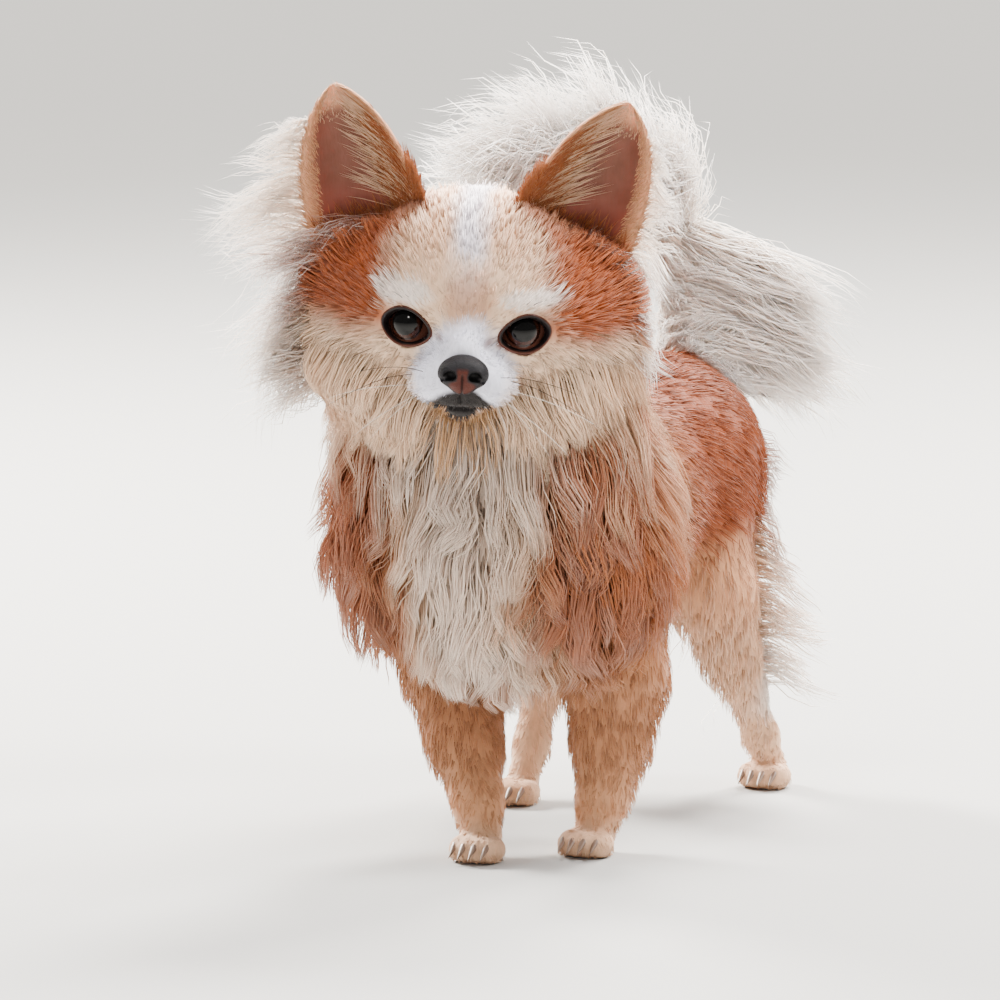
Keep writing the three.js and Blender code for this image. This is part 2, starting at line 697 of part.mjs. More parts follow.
// Tail in three lengths
const tailStation = (place, next, distance) => {
  const normal = vec(next.slice(0, 3)).sub(vec(place.slice(0, 3))).toArray();
  return shifted({ at: place.slice(0, 3), normal }, distance);
};
const tailLengths = {
  tail_root: {
    field: joined([tailField, trunkField], 8),
    stations: [
      tailStation(TAIL[0], TAIL[1], -4),
      tailStation(TAIL[1], TAIL[2], 0),
      tailStation(TAIL[2], TAIL[3], -GAP / 2),
    ],
    rings: 5,
    sides: 12,
  },
  tail_middle: {
    field: tailField,
    stations: [
      tailStation(TAIL[2], TAIL[3], GAP / 2),
      tailStation(TAIL[3], TAIL[4], 0),
      tailStation(TAIL[4], TAIL[5], -GAP / 2),
    ],
    rings: 6,
    sides: 12,
  },
  tail_tip: {
    field: tailField,
    stations: [tailStation(TAIL[4], TAIL[5], GAP / 2), { at: TAIL[6].slice(0, 3), normal: [-12, -14, -8] }],
    rings: 4,
    sides: 12,
    dome: 3,
  },
};

// Every core of the body, true and grown by the gap, before its locks are set on it; what
// runs into the trunk has a finish, which cuts it clear
const cores = {};
const grownCores = {};
const finishes = {};
function addCore(name, length, finish) {
  cores[name] = castLength(length);
  grownCores[name] = castLength({ ...length, offset: GAP });
  if (!finish) return;
  grownCores[name] = finish(grownCores[name]);
  finishes[name] = finish;
}
for (const [name, length] of Object.entries(lengths)) addCore(name, length);
const clearOfTrunk = (solid) =>
  Object.keys(lengths).reduce((rest, name) => rest.subtract(grownCores[name]), solid);
const paws = {};
const legParts = Object.fromEntries(Object.entries(LEGS).map(([name, leg]) => [name, legLengths(name, leg)]));
for (const [name, parts] of Object.entries(legParts)) {
  addCore(parts.upperName, parts.upper, (solid) => clearOfTrunk(oneSided(solid, parts.side)));
  addCore(parts.middleName, parts.middle, clearOfTrunk);
  paws[name] = pawOf(parts.bare, LEGS[name], parts.ankle);
}
addCore("tail_root", tailLengths.tail_root, clearOfTrunk);
addCore("tail_middle", tailLengths.tail_middle);
addCore("tail_tip", tailLengths.tail_tip);

// Coats: each lock is set on a node's core, cut clear of the other cores and of the locks set before it
const towards = (...parts) =>
  parts.reduce((sum, [p, share]) => sum.addScaledVector(vec(p), share), new THREE.Vector3()).normalize();
const DOWN = [0, 0, -1];
const coats = [];
const ROOT_CLEARANCE = 4; // between a root on the trunk and a leg
const anyLeg = joined(Object.values(LEGS).map(legField), 1);
function coat(node, field, root, lie, size, rise) {
  if (node in lengths && anyLeg(root) < ROOT_CLEARANCE) return;
  const length = varied(size.length, 0.15);
  const path = lockPath({ field, root, lie, length, rise });
  coats.push({ node, path, size: { width: varied(size.width, 0.15), thickness: size.thickness } });
}

// A row of locks round a length of the body, between two turns in degrees
function rowRound({ node, length, share, turns, count, lie, size, rise, tilt = 0 }) {
  const section = { ...sectionAt(length.stations, share), tilt };
  for (let i = 0; i < count; i += 1) {
    const degrees = lerp(turns[0], turns[1], (i + 0.3 + 0.4 * random()) / count);
    const out = outward(section, THREE.MathUtils.degToRad(degrees));
    const far = reach(length.field, section.centre, out, MOST_REACH, 0);
    const root = section.centre.clone().addScaledVector(out, far);
    coat(node, length.field, root, lie(out, section.normal), size, rise);
  }
}

// The mane hangs and streams back round the neck, more widely on the dog's right
const MANE_ROWS = [
  { share: 0.04, count: 10, length: 40 },
  { share: 0.34, count: 11, length: 46 },
  { share: 0.66, count: 12, length: 44 },
  { share: 0.95, count: 11, length: 34 },
];
for (const { share, count, length } of MANE_ROWS) {
  rowRound({
    node: "neck",
    length: lengths.neck,
    share,
    count,
    turns: [-100, 260],
    size: { length, width: 21, thickness: 5 },
    rise: 14,
    lie: (out, normal) => () =>
      towards([normal.toArray(), 0.5], [DOWN, 0.55], [out.toArray(), out.x < 0 ? 0.4 : 0.2]),
  });
}
const CHEST_ROWS = [
  { share: 0.2, count: 7, length: 34 },
  { share: 0.6, count: 5, length: 30 },
];
for (const { share, count, length } of CHEST_ROWS) {
  rowRound({
    node: "chest",
    length: lengths.chest,
    share,
    count,
    turns: [-25, 205],
    size: { length, width: 19, thickness: 4 },
    rise: 7,
    lie: (out) => () => towards([[0, 1, 0], 0.7], [DOWN, 0.5], [out.toArray(), 0.15]),
  });
}
rowRound({
  node: "loin",
  length: lengths.loin,
  share: 0.4,
  count: 6,
  turns: [30, 150],
  size: { length: 24, width: 14, thickness: 4 },
  rise: 6,
  lie: () => () => towards([[0, 1, 0], 0.8], [DOWN, 0.6]),
});
for (const tilt of [0.35, 0.9]) {
  rowRound({
    node: "rump",
    length: lengths.rump,
    share: 1,
    tilt,
    count: 5,
    turns: [-30, 210],
    size: { length: 30, width: 16, thickness: 4 },
    rise: 7,
    lie: (out) => () => towards([[0, 1, 0], 0.4], [DOWN, 0.9], [out.toArray(), 0.1]),
  });
}

// Feathers behind the forelegs and breeches behind the hind legs
for (const [name, parts] of Object.entries(legParts)) {
  const fore = name.startsWith("foreleg");
  const lengthsOfLeg = [
    { node: parts.upperName, length: parts.upper, shares: fore ? [] : [0.7] },
    { node: parts.middleName, length: parts.middle, shares: fore ? [0.4] : [0.15, 0.45] },
  ];
  for (const { node, length, shares } of lengthsOfLeg) {
    for (const share of shares) {
      rowRound({
        node,
        length,
        share,
        count: fore ? 2 : 3,
        turns: [-125, -55],
        size: fore ? { length: 17, width: 9, thickness: 3 } : { length: 34, width: 12, thickness: 4 },
        rise: fore ? 5 : 14,
        lie: (out) => () => towards([out.toArray(), 0.6], [[0, 1, 0], fore ? 0.1 : 0.45], [DOWN, 0.75]),
      });
    }
  }
}

// The tail's crest streams forward and to the right, its plume falls back and to the left
for (const share of [0.05, 0.35, 0.7]) {
  rowRound({
    node: "tail_middle",
    length: tailLengths.tail_middle,
    share,
    count: 5,
    turns: [-150, 150],
    size: { length: 44, width: 15, thickness: 4 },
    rise: 16,
    lie: (out, normal) => (p, t) =>
      towards([normal.toArray(), 0.7], [out.toArray(), 1.1 - 0.7 * t], [[-1, -0.2, 0], 0.6 * t]),
  });
}
for (const share of [0.15, 0.6, 1]) {
  rowRound({
    node: "tail_tip",
    length: tailLengths.tail_tip,
    share,
    count: 4,
    turns: [-180, 180],
    size: { length: 38, width: 14, thickness: 4 },
    rise: 10,
    lie: (out, normal) => (p, t) =>
      towards([normal.toArray(), 0.8], [out.toArray(), 0.7 - 0.5 * t], [[-0.8, -0.1, 0.1], t]),
  });
}
for (const [share, length] of [[0.5, 62], [0.7, 84], [0.92, 76]]) {
  rowRound({
    node: "tail_root",
    length: tailLengths.tail_root,
    share,
    count: share > 0.8 ? 3 : 4,
    turns: [-60, 60],
    size: { length, width: 16, thickness: 4.5 },
    rise: 8,
    lie: (out) => (p, t) =>
      towards([[0.6, 0.55, -0.35], 1], [out.toArray(), 0.3 * (1 - t)], [DOWN, 0.35 * t]),
  });
}

// Long hair behind the cheeks and ears, in the head's frame
const CHEEK_ROWS = [
  { side: -1, roots: [[20, 27], [18, 16], [12, 7], [12, -4], [8, -16], [0, -28]], length: 51, sweep: 1.25 },
  { side: 1, roots: [[14, 20], [14, 4], [8, -12], [0, -26]], length: 28, sweep: 0.8 },
];
for (const { side, roots, length, sweep } of CHEEK_ROWS) {
  for (const [back, high] of roots) {
    const from = new THREE.Vector3(20 * side, back, high * 0.5);
    const out = towards([[side, 0, 0], 1], [[0, 0, high], 0.02]);
    const root = from.clone().addScaledVector(out, reach(headOnly, from, out, MOST_REACH, 0));
    const lie = (p, t) =>
      towards([[side, 0.25, 0], sweep - 0.4 * t], [DOWN, high > 15 ? 0.5 * t - 0.1 : 0.6]);
    coat("head", headOnly, root, lie, { length, width: 14, thickness: 4 }, 9);
  }
}

// Hair of the throat, which hangs over the frill
for (const x of [-24, -12, 0, 12, 24]) {
  const from = new THREE.Vector3(x, -4, -20);
  const out = towards([[0, -0.6, -0.8], 1]);
  const root = from.clone().addScaledVector(out, reach(headOnly, from, out, MOST_REACH, 0));
  const lie = () => towards([DOWN, 1], [[x, 0, 0], 0.008], [[0, -1, 0], 0.25]);
  coat("head", wholeFromHead, root, lie, { length: 26, width: 13, thickness: 4 }, 7);
}

// Thin hair along the outer rims of the ears, in the head's frame
const RIM_HAIR = { shares: [0.12, 0.28, 0.45], length: 22, width: 6, thickness: 2.2 };
const RIM_ROOT = 0.82; // share of the ear's half width
for (const [name, ear] of Object.entries(EARS)) {
  for (const share of RIM_HAIR.shares) {
    const places = [earPlace(ear, RIM_ROOT, share, 0)];
    for (let i = 1; i <= LOCK_STEPS; i += 1) {
      const t = i / LOCK_STEPS;
      const ahead = towards([[ear.side, 0.3, 0], 1], [DOWN, 1.6 * t]);
      places.push(places[i - 1].clone().addScaledVector(ahead, RIM_HAIR.length / LOCK_STEPS));
    }
    const normal = new THREE.Vector3(0, 1, 0);
    coats.push({ node: `ear_${name}`, path: { places, normal }, size: RIM_HAIR });
  }
}

// Moves a solid from the head's frame to the body's, or back
const carried = (solid, matrix) => solidOf(geometryOf(solid).applyMatrix4(matrix));
cores.head = carried(head, headMatrix);
const grownHead = castBall({ ...headCast, offset: GAP });
const headEnd = shifted(headCutInBody, GAP / 2);
grownCores.head = cutAway(carried(grownHead, headMatrix), headEnd.at, headEnd.normal);
grownCores.muzzle = carried(muzzleCast(GAP), headMatrix);
for (const [name, ear] of Object.entries(EARS)) {
  cores[`ear_${name}`] = carried(earShell(ear).subtract(grownHead), headMatrix);
  grownCores[`ear_${name}`] = carried(earShell(ear, GAP), headMatrix);
}
const inHeadFrame = (node) => node === "head" || node.startsWith("ear");
const ORDER = ["ear_right", "ear_left", "head", "neck", "chest", "loin", "rump"];
const rank = (node) => (ORDER.includes(node) ? ORDER.indexOf(node) : ORDER.length);
const nodes = Object.keys(cores).sort((a, b) => rank(a) - rank(b));
const solids = {};
const placed = [];
for (const node of nodes) {
  const own = coats.filter((lock) => lock.node === node);
  const frame = (solid) => (inHeadFrame(node) ? carried(solid, headMatrix) : solid);
  let hair = null;
  let wider = null;
  for (const { path, size } of own) {
    const lock = frame(lockSolid(path, size));
    const grown = frame(lockSolid(path, size, GAP));
    hair = hair ? hair.add(lock) : lock;
    wider = wider ? wider.add(grown) : grown;
  }
  let whole = cores[node];
  if (hair) {
    const cutLater = node in finishes ? Object.keys(lengths) : [];
    const others = Object.keys(grownCores).filter((other) => other !== node && !cutLater.includes(other));
    for (const other of others) hair = hair.subtract(grownCores[other]);
    whole = whole.add(hair);
  }
  if (node in finishes) whole = finishes[node](whole);
  for (const earlier of placed) whole = whole.subtract(earlier);
  if (wider) placed.push(wider);
  solids[node] = largest(whole);
}

addPiece(headGroup, "head", carried(solids.head, headInverse), CREAM);
addPiece(headGroup, "muzzle", upperMuzzle, CREAM);
addPiece(headGroup, "lower_jaw", lowerJaw, CREAM);
addPiece(headGroup, "nose", nose, NOSE_SKIN);
for (const [name, ear] of Object.entries(EARS)) {
  addPiece(headGroup, `ear_${name}`, carried(solids[`ear_${name}`], headInverse), EAR_SKIN);
  addPiece(headGroup, `eye_${name}`, solidOf(eyeBall(ear.side, EYE_RADIUS)), EYE_GLOSS);
}
for (const name of Object.keys(lengths)) addPiece(dog, name, solids[name], FAWN);
for (const [name, parts] of Object.entries(legParts)) {
  addPiece(dog, parts.upperName, solids[parts.upperName], FAWN);
  addPiece(dog, parts.middleName, solids[parts.middleName], FAWN);
  addPiece(dog, `${name}_paw`, paws[name], CREAM);
  for (let n = 0; n < 4; n += 1) {
    addPiece(dog, `${name}_claw_${n + 1}`, clawOf(LEGS[name], n, paws[name]), CLAW_HORN).position.y = -GAP;
  }
}
for (const name of Object.keys(tailLengths)) addPiece(dog, name, solids[name], TAIL_HAIR);

// The box of the whole dog is centred over the origin
dog.updateMatrixWorld(true);
const box = new THREE.Box3().setFromObject(dog, true);
dog.position.set(-(box.min.x + box.max.x) / 2, -(box.min.y + box.max.y) / 2, 0);

export default dog;
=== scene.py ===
"""Looks of a long-haired chihuahua: its skin, eyes, nose, ears, claws, whiskers and coat.

Places and sizes are millimetres in the dog's own frame: x to its left, y backwards and z up
from its soles. Each piece is turned into metres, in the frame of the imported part, as it is made.
"""

import math

import bpy
import numpy as np
from mathutils import Matrix, Vector
from mathutils.kdtree import KDTree


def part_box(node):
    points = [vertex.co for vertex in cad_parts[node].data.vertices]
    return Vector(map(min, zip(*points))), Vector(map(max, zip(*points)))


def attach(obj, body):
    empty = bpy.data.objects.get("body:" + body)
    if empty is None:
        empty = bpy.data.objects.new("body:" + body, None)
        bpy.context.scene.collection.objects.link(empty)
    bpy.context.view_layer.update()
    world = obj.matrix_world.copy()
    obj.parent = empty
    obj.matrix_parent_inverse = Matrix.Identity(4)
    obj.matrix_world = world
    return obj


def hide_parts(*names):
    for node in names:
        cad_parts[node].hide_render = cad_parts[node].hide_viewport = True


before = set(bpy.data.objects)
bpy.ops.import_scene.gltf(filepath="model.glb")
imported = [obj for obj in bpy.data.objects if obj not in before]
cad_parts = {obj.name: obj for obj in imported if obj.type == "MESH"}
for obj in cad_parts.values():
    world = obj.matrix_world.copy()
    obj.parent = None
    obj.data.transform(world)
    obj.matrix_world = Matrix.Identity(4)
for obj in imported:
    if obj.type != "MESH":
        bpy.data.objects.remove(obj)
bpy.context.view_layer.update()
MM = 0.001


def unit(v):
    return v / (np.linalg.norm(v, axis=-1, keepdims=True) + 1e-9)


def dot(a, b):
    return (a * b).sum(-1, keepdims=True)


def fade(x, start, end):
    """Rises smoothly from 0 at start to 1 at end; start may be the larger."""
    t = np.clip((x - start) / (end - start), 0, 1)
    return t * t * (3 - 2 * t)


def spot(p, centre, radii, soft=0.5):
    """1 inside an ellipsoid, fading to 0 at (1 + soft) times its radii."""
    d = np.linalg.norm((p - np.array(centre)) / np.array(radii), axis=-1)
    return fade(d, 1 + soft, 1)


def turned(axis, degrees):
    return np.array(Matrix.Rotation(math.radians(degrees), 3, axis))


# The head's own frame
HEAD_AT = np.array([3.0, -100, 205])
HEAD_TURN = turned("Z", 21.7) @ turned("X", 4) @ turned("Y", 3.5)
SOLID_EYE = np.array([20.2, -21.5, -4])
EYE_CENTRE = np.array([18.9, -21.9, -4.5])  # where the photo has it
EYE_RADIUS = 9.6
EYE_OPENING = (15.0, 12.0)  # width and height between the lids
NOSE_TIP = np.array([0, -53.5, -15])
EARS = {
    "right": {"side": -1, "base": (38.5, 5, 22), "tip": (53.5, 3, 75)},
    "left": {"side": 1, "base": (33.5, 5, 23), "tip": (51.5, 3, 75)},
}


def in_head(vector):
    """A direction given in the head's frame, turned into the dog's."""
    return np.asarray(vector, float) @ HEAD_TURN.T


def from_head(p):
    return HEAD_AT + in_head(p)


def to_head(p):
    return (p - HEAD_AT) @ HEAD_TURN


def mirrored(p, side):
    return np.asarray(p, float) * (side, 1, 1)


low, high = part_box("eye_left")
SHIFT = (np.array(low) + np.array(high)) / 2 / MM - from_head(SOLID_EYE)

# Forms: a limb tapers from one place and radius to the next, a mass is an ellipsoid


def limb(*places):
    return [("limb", np.array(a, float), np.array(b, float)) for a, b in zip(places, places[1:])]


def mass(centre, radii):
    return [("mass", np.array(centre, float), np.array(radii, float))]


def both(make):
    return make(-1) + make(1)


def form_distance(p, form):
    kind, a, b = form
    if kind == "mass":
        q = (p - a) / b
        near = np.linalg.norm(q, axis=-1)
        slope = np.linalg.norm(q / b, axis=-1) + 1e-9
        return near * (near - 1) / slope
    along = b[:3] - a[:3]
    q = p - a[:3]
    t = np.clip(q @ along / (along @ along), 0, 1)
    return np.linalg.norm(q - t[..., None] * along, axis=-1) - (a[3] + (b[3] - a[3]) * t)


def smooth_min(d, e, width):
    h = np.maximum(width - np.abs(d - e), 0) / width
    return np.minimum(d, e) - h * h * width / 4


def blended(p, forms, width):
    d = form_distance(p, forms[0])
    for form in forms[1:]:
        d = smooth_min(d, form_distance(p, form), width)
    return d


HEAD_FORMS = (
    mass((0, 3, 7), (37.5, 38, 32))
    + mass((0, -12, 10), (30, 24, 24))
    + both(lambda s: mass((16 * s, -22, 5), (12, 9, 8)))
    + both(lambda s: mass((26 * s, -6, -13), (20, 22, 19)))
    + mass((0, 2, -24), (30, 26, 18))
    + both(lambda s: mass((38 * s, 6, -4), (18, 17, 25)))
)
MUZZLE_FORMS = (
    limb((0, -20, -15, 17), (0, -36, -19, 11.5))
    + both(lambda s: mass((8.5 * s, -37, -22), (10.5, 9, 8.5)))
    + limb((0, -20, -2, 9), (0, -41, -9, 5.5))
    + limb((0, -22, -27, 11), (0, -35, -29.5, 6))
)
NECK_FORMS = (
    limb((2, -84, 186, 33), (0, -66, 140, 40))
    + limb((-36, -82, 184, 16), (-32, -76, 122, 25))
    + limb((38, -74, 184, 14), (32, -72, 122, 25))
    + limb((5, -90, 150, 14), (2, -92, 112, 19), (0, -84, 86, 19))
    + limb((0, -62, 188, 22), (0, -38, 148, 28))
)
TRUNK_FORMS = (
    limb((0, -50, 120, 45), (0, 5, 123, 40), (0, 58, 133, 37), (0, 74, 132, 36))
    + limb((0, -66, 93, 26), (0, -8, 99, 26))
    + both(lambda s: limb((30 * s, -58, 118, 27), (33 * s, -56, 92, 25)))
    + both(lambda s: limb((10 * s, 70, 128, 31), (14 * s, 66, 108, 25)))
)
LEGS = {
    "foreleg_right": [
        (-31, -60, 100, 25),
        (-27, -52, 66, 20),
        (-18, -62, 40, 14.5),
        (-8, -72, 20, 10),
        (-3.5, -78, 7.5, 9),
    ],
    "foreleg_left": [
        (31, -56, 100, 25),
        (34, -44, 66, 20),
        (33, -45, 42, 15),
        (31, -47, 21, 10.5),
        (29, -51, 7.5, 9),
    ],
    "hindleg_right": [
        (-17, 64, 114, 24),
        (-33, 42, 80, 17),
        (-38, 48, 58, 12),
        (-41, 56, 41, 8.5),
        (-41, 47, 21, 7.4),
        (-41, 38, 6.5, 7.8),
    ],
    "hindleg_left": [
        (16, 66, 114, 25),
        (27, 62, 82, 17),
        (28, 76, 57, 12),
        (28, 91, 41, 8.6),
        (29.5, 103, 21, 7.4),
        (31, 111, 6.5, 7.8),
    ],
}
TOES = {
    "foreleg_right": (-2, -84, 6),
    "foreleg_left": (29, -57, 6),
    "hindleg_right": (-41, 31, 6),
    "hindleg_left": (31, 105, 6),
}
TOE_COUNT = 4
TOE_RADII = (4.3, 7.5, 5.2)
TOE_SPREAD = 4.2
TAIL = [
    (2, 84, 150, 13),
    (0, 100, 176, 10),
    (-4, 99, 205, 9),
    (-8, 84, 232, 9),
    (-18, 60, 245, 8.5),
    (-32, 38, 246, 8),
    (-44, 24, 238, 6),
]
# How far the skin lies inside the outline of the short coat
COAT_DEPTH = {"face": 1.2, "muzzle": 0.9, "neck": 3.0, "trunk": 3.0, "leg": 1.8, "tail": 2.5}


def toe_centre(leg, n):
    x, y, z = TOES[leg]
    across = n - 1.5
    return (x + across * TOE_SPREAD, y - 3.5 + 1.6 * abs(across), z - 1.4)


MOUTH_HEIGHT = -30.6
MOUTH_DROP = 2.6  # at its corners
MOUTH_HALF_WIDTH = 12


def mouth_line(x):
    """Height of the closed mouth across the muzzle."""
    return MOUTH_HEIGHT - MOUTH_DROP * np.minimum((x / MOUTH_HALF_WIDTH) ** 2, 1.5)


def muzzle_distance(h):
    """The muzzle with its lips parted by the line of the mouth, in the head's frame."""
    d = blended(h, MUZZLE_FORMS, 6) + COAT_DEPTH["muzzle"]
    x, y, z = h[..., 0], h[..., 1], h[..., 2]
    groove = np.exp(-(((z - mouth_line(x)) / 0.9) ** 2)) * fade(y, -24, -30)
    cleft = np.exp(-((x / 0.8) ** 2)) * fade(z, -21, -22.5) * fade(z, -30, -28) * fade(y, -38, -41)
    return d + 1.5 * groove + 0.8 * cleft


def closed_head_distance(h):
    """The head without its eye openings, in its own frame."""
    return smooth_min(blended(h, HEAD_FORMS, 14) + COAT_DEPTH["face"], muzzle_distance(h), 9)


# The almond between the lids, seen along the left eye's gaze
GAZE = unit(np.array([0.28, -1, -0.02]))
LID_WIDE = unit(np.array([1, 0.28, 0.17]))
LID_HIGH = unit(np.cross(LID_WIDE, GAZE))
INNER_CORNER_STRETCH = 1.12
LID_REACH = 16.0
SOCKET_ROOM = 0.9
OPENING_GROWTH = 1.16  # of the hole in the head over the almond between the lids
OPENING_SLOPE = 5


def almond_point(turn, grow):
    """Places across and up on the almond's edge, grown by a factor; turn 0 is the outer corner."""
    cos, sin = np.cos(turn), np.sin(turn)
    stretch = np.where(cos < 0, INNER_CORNER_STRETCH, 1)
    across = EYE_OPENING[0] / 2 * cos * grow * stretch
    return across, EYE_OPENING[1] / 2 * sin * (1 - 0.25 * cos**2) * grow


def almond_share(q):
    """1 on the almond's edge, less inside it, for places about the left eye's centre."""
    across = (q @ LID_WIDE) / (EYE_OPENING[0] / 2)
    across = across / np.where(across < 0, INNER_CORNER_STRETCH, 1)
    height = (q @ LID_HIGH) / (EYE_OPENING[1] / 2) / (1 - 0.25 * np.minimum(across**2, 1))
    near = (q @ GAZE > 0) & (np.linalg.norm(q, axis=-1) < LID_REACH)
    return np.where(near, np.hypot(across, height), 9)


def from_eye(h, side):
    return mirrored(h - mirrored(EYE_CENTRE, side), side)


def head_distance(p):
    h = to_head(p)
    d = closed_head_distance(h)
    for side in (-1, 1):
        q = from_eye(h, side)
        d = np.maximum(d, EYE_RADIUS + SOCKET_ROOM - np.linalg.norm(q, axis=-1))
        d = np.maximum(d, (OPENING_GROWTH - almond_share(q)) * OPENING_SLOPE)
    return d


def neck_distance(p):
    return blended(p, NECK_FORMS, 16) + COAT_DEPTH["neck"]


def trunk_distance(p):
    return blended(p, TRUNK_FORMS, 16) + COAT_DEPTH["trunk"]


def leg_distance(p, leg):
    d = blended(p, limb(*LEGS[leg]), 7) + COAT_DEPTH["leg"]
    for n in range(TOE_COUNT):
        toe = mass(toe_centre(leg, n), np.array(TOE_RADII) - 0.4)
        d = smooth_min(d, form_distance(p, toe[0]), 2.2)
    return d


def tail_distance(p):
    return blended(p, limb(*TAIL), 8) + COAT_DEPTH["tail"]


def skin_distance(p):
    d = smooth_min(neck_distance(p), trunk_distance(p), 18)
    d = smooth_min(d, head_distance(p), 12)
    for leg in LEGS:
        d = smooth_min(d, leg_distance(p, leg), 9)
    d = smooth_min(d, tail_distance(p), 8)
    return np.maximum(d, 0.25 - p[..., 2])


def slope_of(field, p, step=0.4):
    """Unit vectors out of a field."""
    parts = []
    for axis in range(3):
        ahead = np.zeros(3)
        ahead[axis] = step
        parts.append(field(p + ahead) - field(p - ahead))
    return unit(np.stack(parts, -1))


# Meshing of a field: its values on a grid that is closer together where the form is fine


def stations(low, high, coarse, fine_from, fine_to, fine):
    parts = [np.arange(low, fine_from, coarse), np.arange(fine_from, fine_to, fine)]
    return np.concatenate(parts + [np.arange(fine_to, high + coarse, coarse)])


def field_values(field, xs, ys, zs, block=6):
    """The field at each place of the grid; blocks far from the surface take their middle's value."""
    axes = (xs, ys, zs)
    counts = [len(a) for a in axes]
    owner = [np.minimum(np.arange(n) // block, (n - 1) // block) for n in counts]
    middles = [np.array([a[o == k].mean() for k in range(o[-1] + 1)]) for a, o in zip(axes, owner)]
    halves = [np.array([np.ptp(a[o == k]) / 2 for k in range(o[-1] + 1)]) for a, o in zip(axes, owner)]
    centre = np.stack(np.meshgrid(*middles, indexing="ij"), -1)
    radius = np.linalg.norm(np.stack(np.meshgrid(*halves, indexing="ij"), -1), axis=-1)
    rough = field(centre.reshape(-1, 3)).reshape(radius.shape)
    near = np.abs(rough) < radius * 1.6 + 4
    spread = np.ix_(*owner)
    values = rough[spread].astype(np.float32)
    close = np.argwhere(near[spread])
    places = np.stack([axes[k][close[:, k]] for k in range(3)], -1)
    found = [field(part) for part in np.array_split(places, max(1, len(places) // 200000))]
    values[tuple(close.T)] = np.concatenate(found)
    return values


def surface(field, xs, ys, zs, settle=2):
    """Points and four-sided faces of the field's zero level, by surface nets."""
    values = field_values(field, xs, ys, zs)
    axes = (xs, ys, zs)
    inside = values < 0
    crossings, cells = [], []
    for axis in range(3):
        first = [slice(None)] * 3
        second = [slice(None)] * 3
        first[axis] = slice(0, -1)
        second[axis] = slice(1, None)
        index = np.argwhere(inside[tuple(first)] != inside[tuple(second)])
        ahead = index.copy()
        ahead[:, axis] += 1
        here = values[tuple(index.T)]
        there = values[tuple(ahead.T)]
        place = np.stack([axes[k][index[:, k]] for k in range(3)], -1)
        step = axes[axis][ahead[:, axis]] - axes[axis][index[:, axis]]
        place[:, axis] += step * here / (here - there)
        one, two = (axis + 1) % 3, (axis + 2) % 3
        ring = []
        for back_one, back_two in ((0, 0), (1, 0), (1, 1), (0, 1)):
            cell = index.copy()
            cell[:, one] -= back_one
            cell[:, two] -= back_two
            ring.append(np.ravel_multi_index(cell.T, values.shape))
        ring = np.stack(ring, 1)
        ring[here > 0] = ring[here > 0][:, ::-1]
        crossings.append(place)
        cells.append(ring)
    crossings = np.repeat(np.concatenate(crossings), 4, axis=0)
    cells = np.concatenate(cells)
    _, faces = np.unique(cells.ravel(), return_inverse=True)
    count = np.bincount(faces)
    sums = [np.bincount(faces, weights=crossings[:, k]) / count for k in range(3)]
    points = np.stack(sums, -1)
    for _ in range(settle):
        out = slope_of(field, points)
        points -= out * np.clip(field(points), -0.6, 0.6)[:, None]
    return points, faces.reshape(-1, 4)


# Making Blender objects


def linked(name, data):
    made = bpy.data.objects.new(name, data)
    bpy.context.scene.collection.objects.link(made)
    return made


def tube_faces(rings, sides, closed=False):
    """Four-sided faces between rings of points, and from the last back to the first if closed."""
    index = np.arange(rings * sides).reshape(rings, sides)
    following = np.roll(index, -1, 0)
    if not closed:
        index, following = index[:-1], following[:-1]
    corners = [index, np.roll(index, -1, 1), np.roll(following, -1, 1), following]
    return np.stack([corner.ravel() for corner in corners], 1)


def mesh_object(name, points, faces, material, colours=None, patches=None):
    """A smooth mesh of faces with one number of corners; colours are per point, patches per corner."""
    sides = faces.shape[1]
    mesh = bpy.data.meshes.new(name)
    mesh.vertices.add(len(points))
    mesh.vertices.foreach_set("co", ((points + SHIFT) * MM).astype(np.float32).ravel())
    mesh.loops.add(faces.size)
    mesh.loops.foreach_set("vertex_index", faces.astype(np.int32).ravel())
    mesh.polygons.add(len(faces))
    mesh.polygons.foreach_set("loop_start", np.arange(0, faces.size, sides, dtype=np.int32))
    mesh.polygons.foreach_set("use_smooth", np.ones(len(faces), bool))
    mesh.update(calc_edges=True)
    if colours is not None:
        layer = mesh.color_attributes.new("coat", "FLOAT_COLOR", "POINT")
        filled = np.ones((len(points), 4), np.float32)
        filled[:, :3] = colours
        layer.data.foreach_set("color", filled.ravel())
    if patches is not None:
        layer = mesh.uv_layers.new(name="OFBake")
        layer.data.foreach_set("uv", patches.astype(np.float32).ravel())
    mesh.materials.append(material)
    return linked(name, mesh)


def set_in_place(piece, nodes=()):
    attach(piece, "root")
    if nodes:
        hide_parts(*nodes)


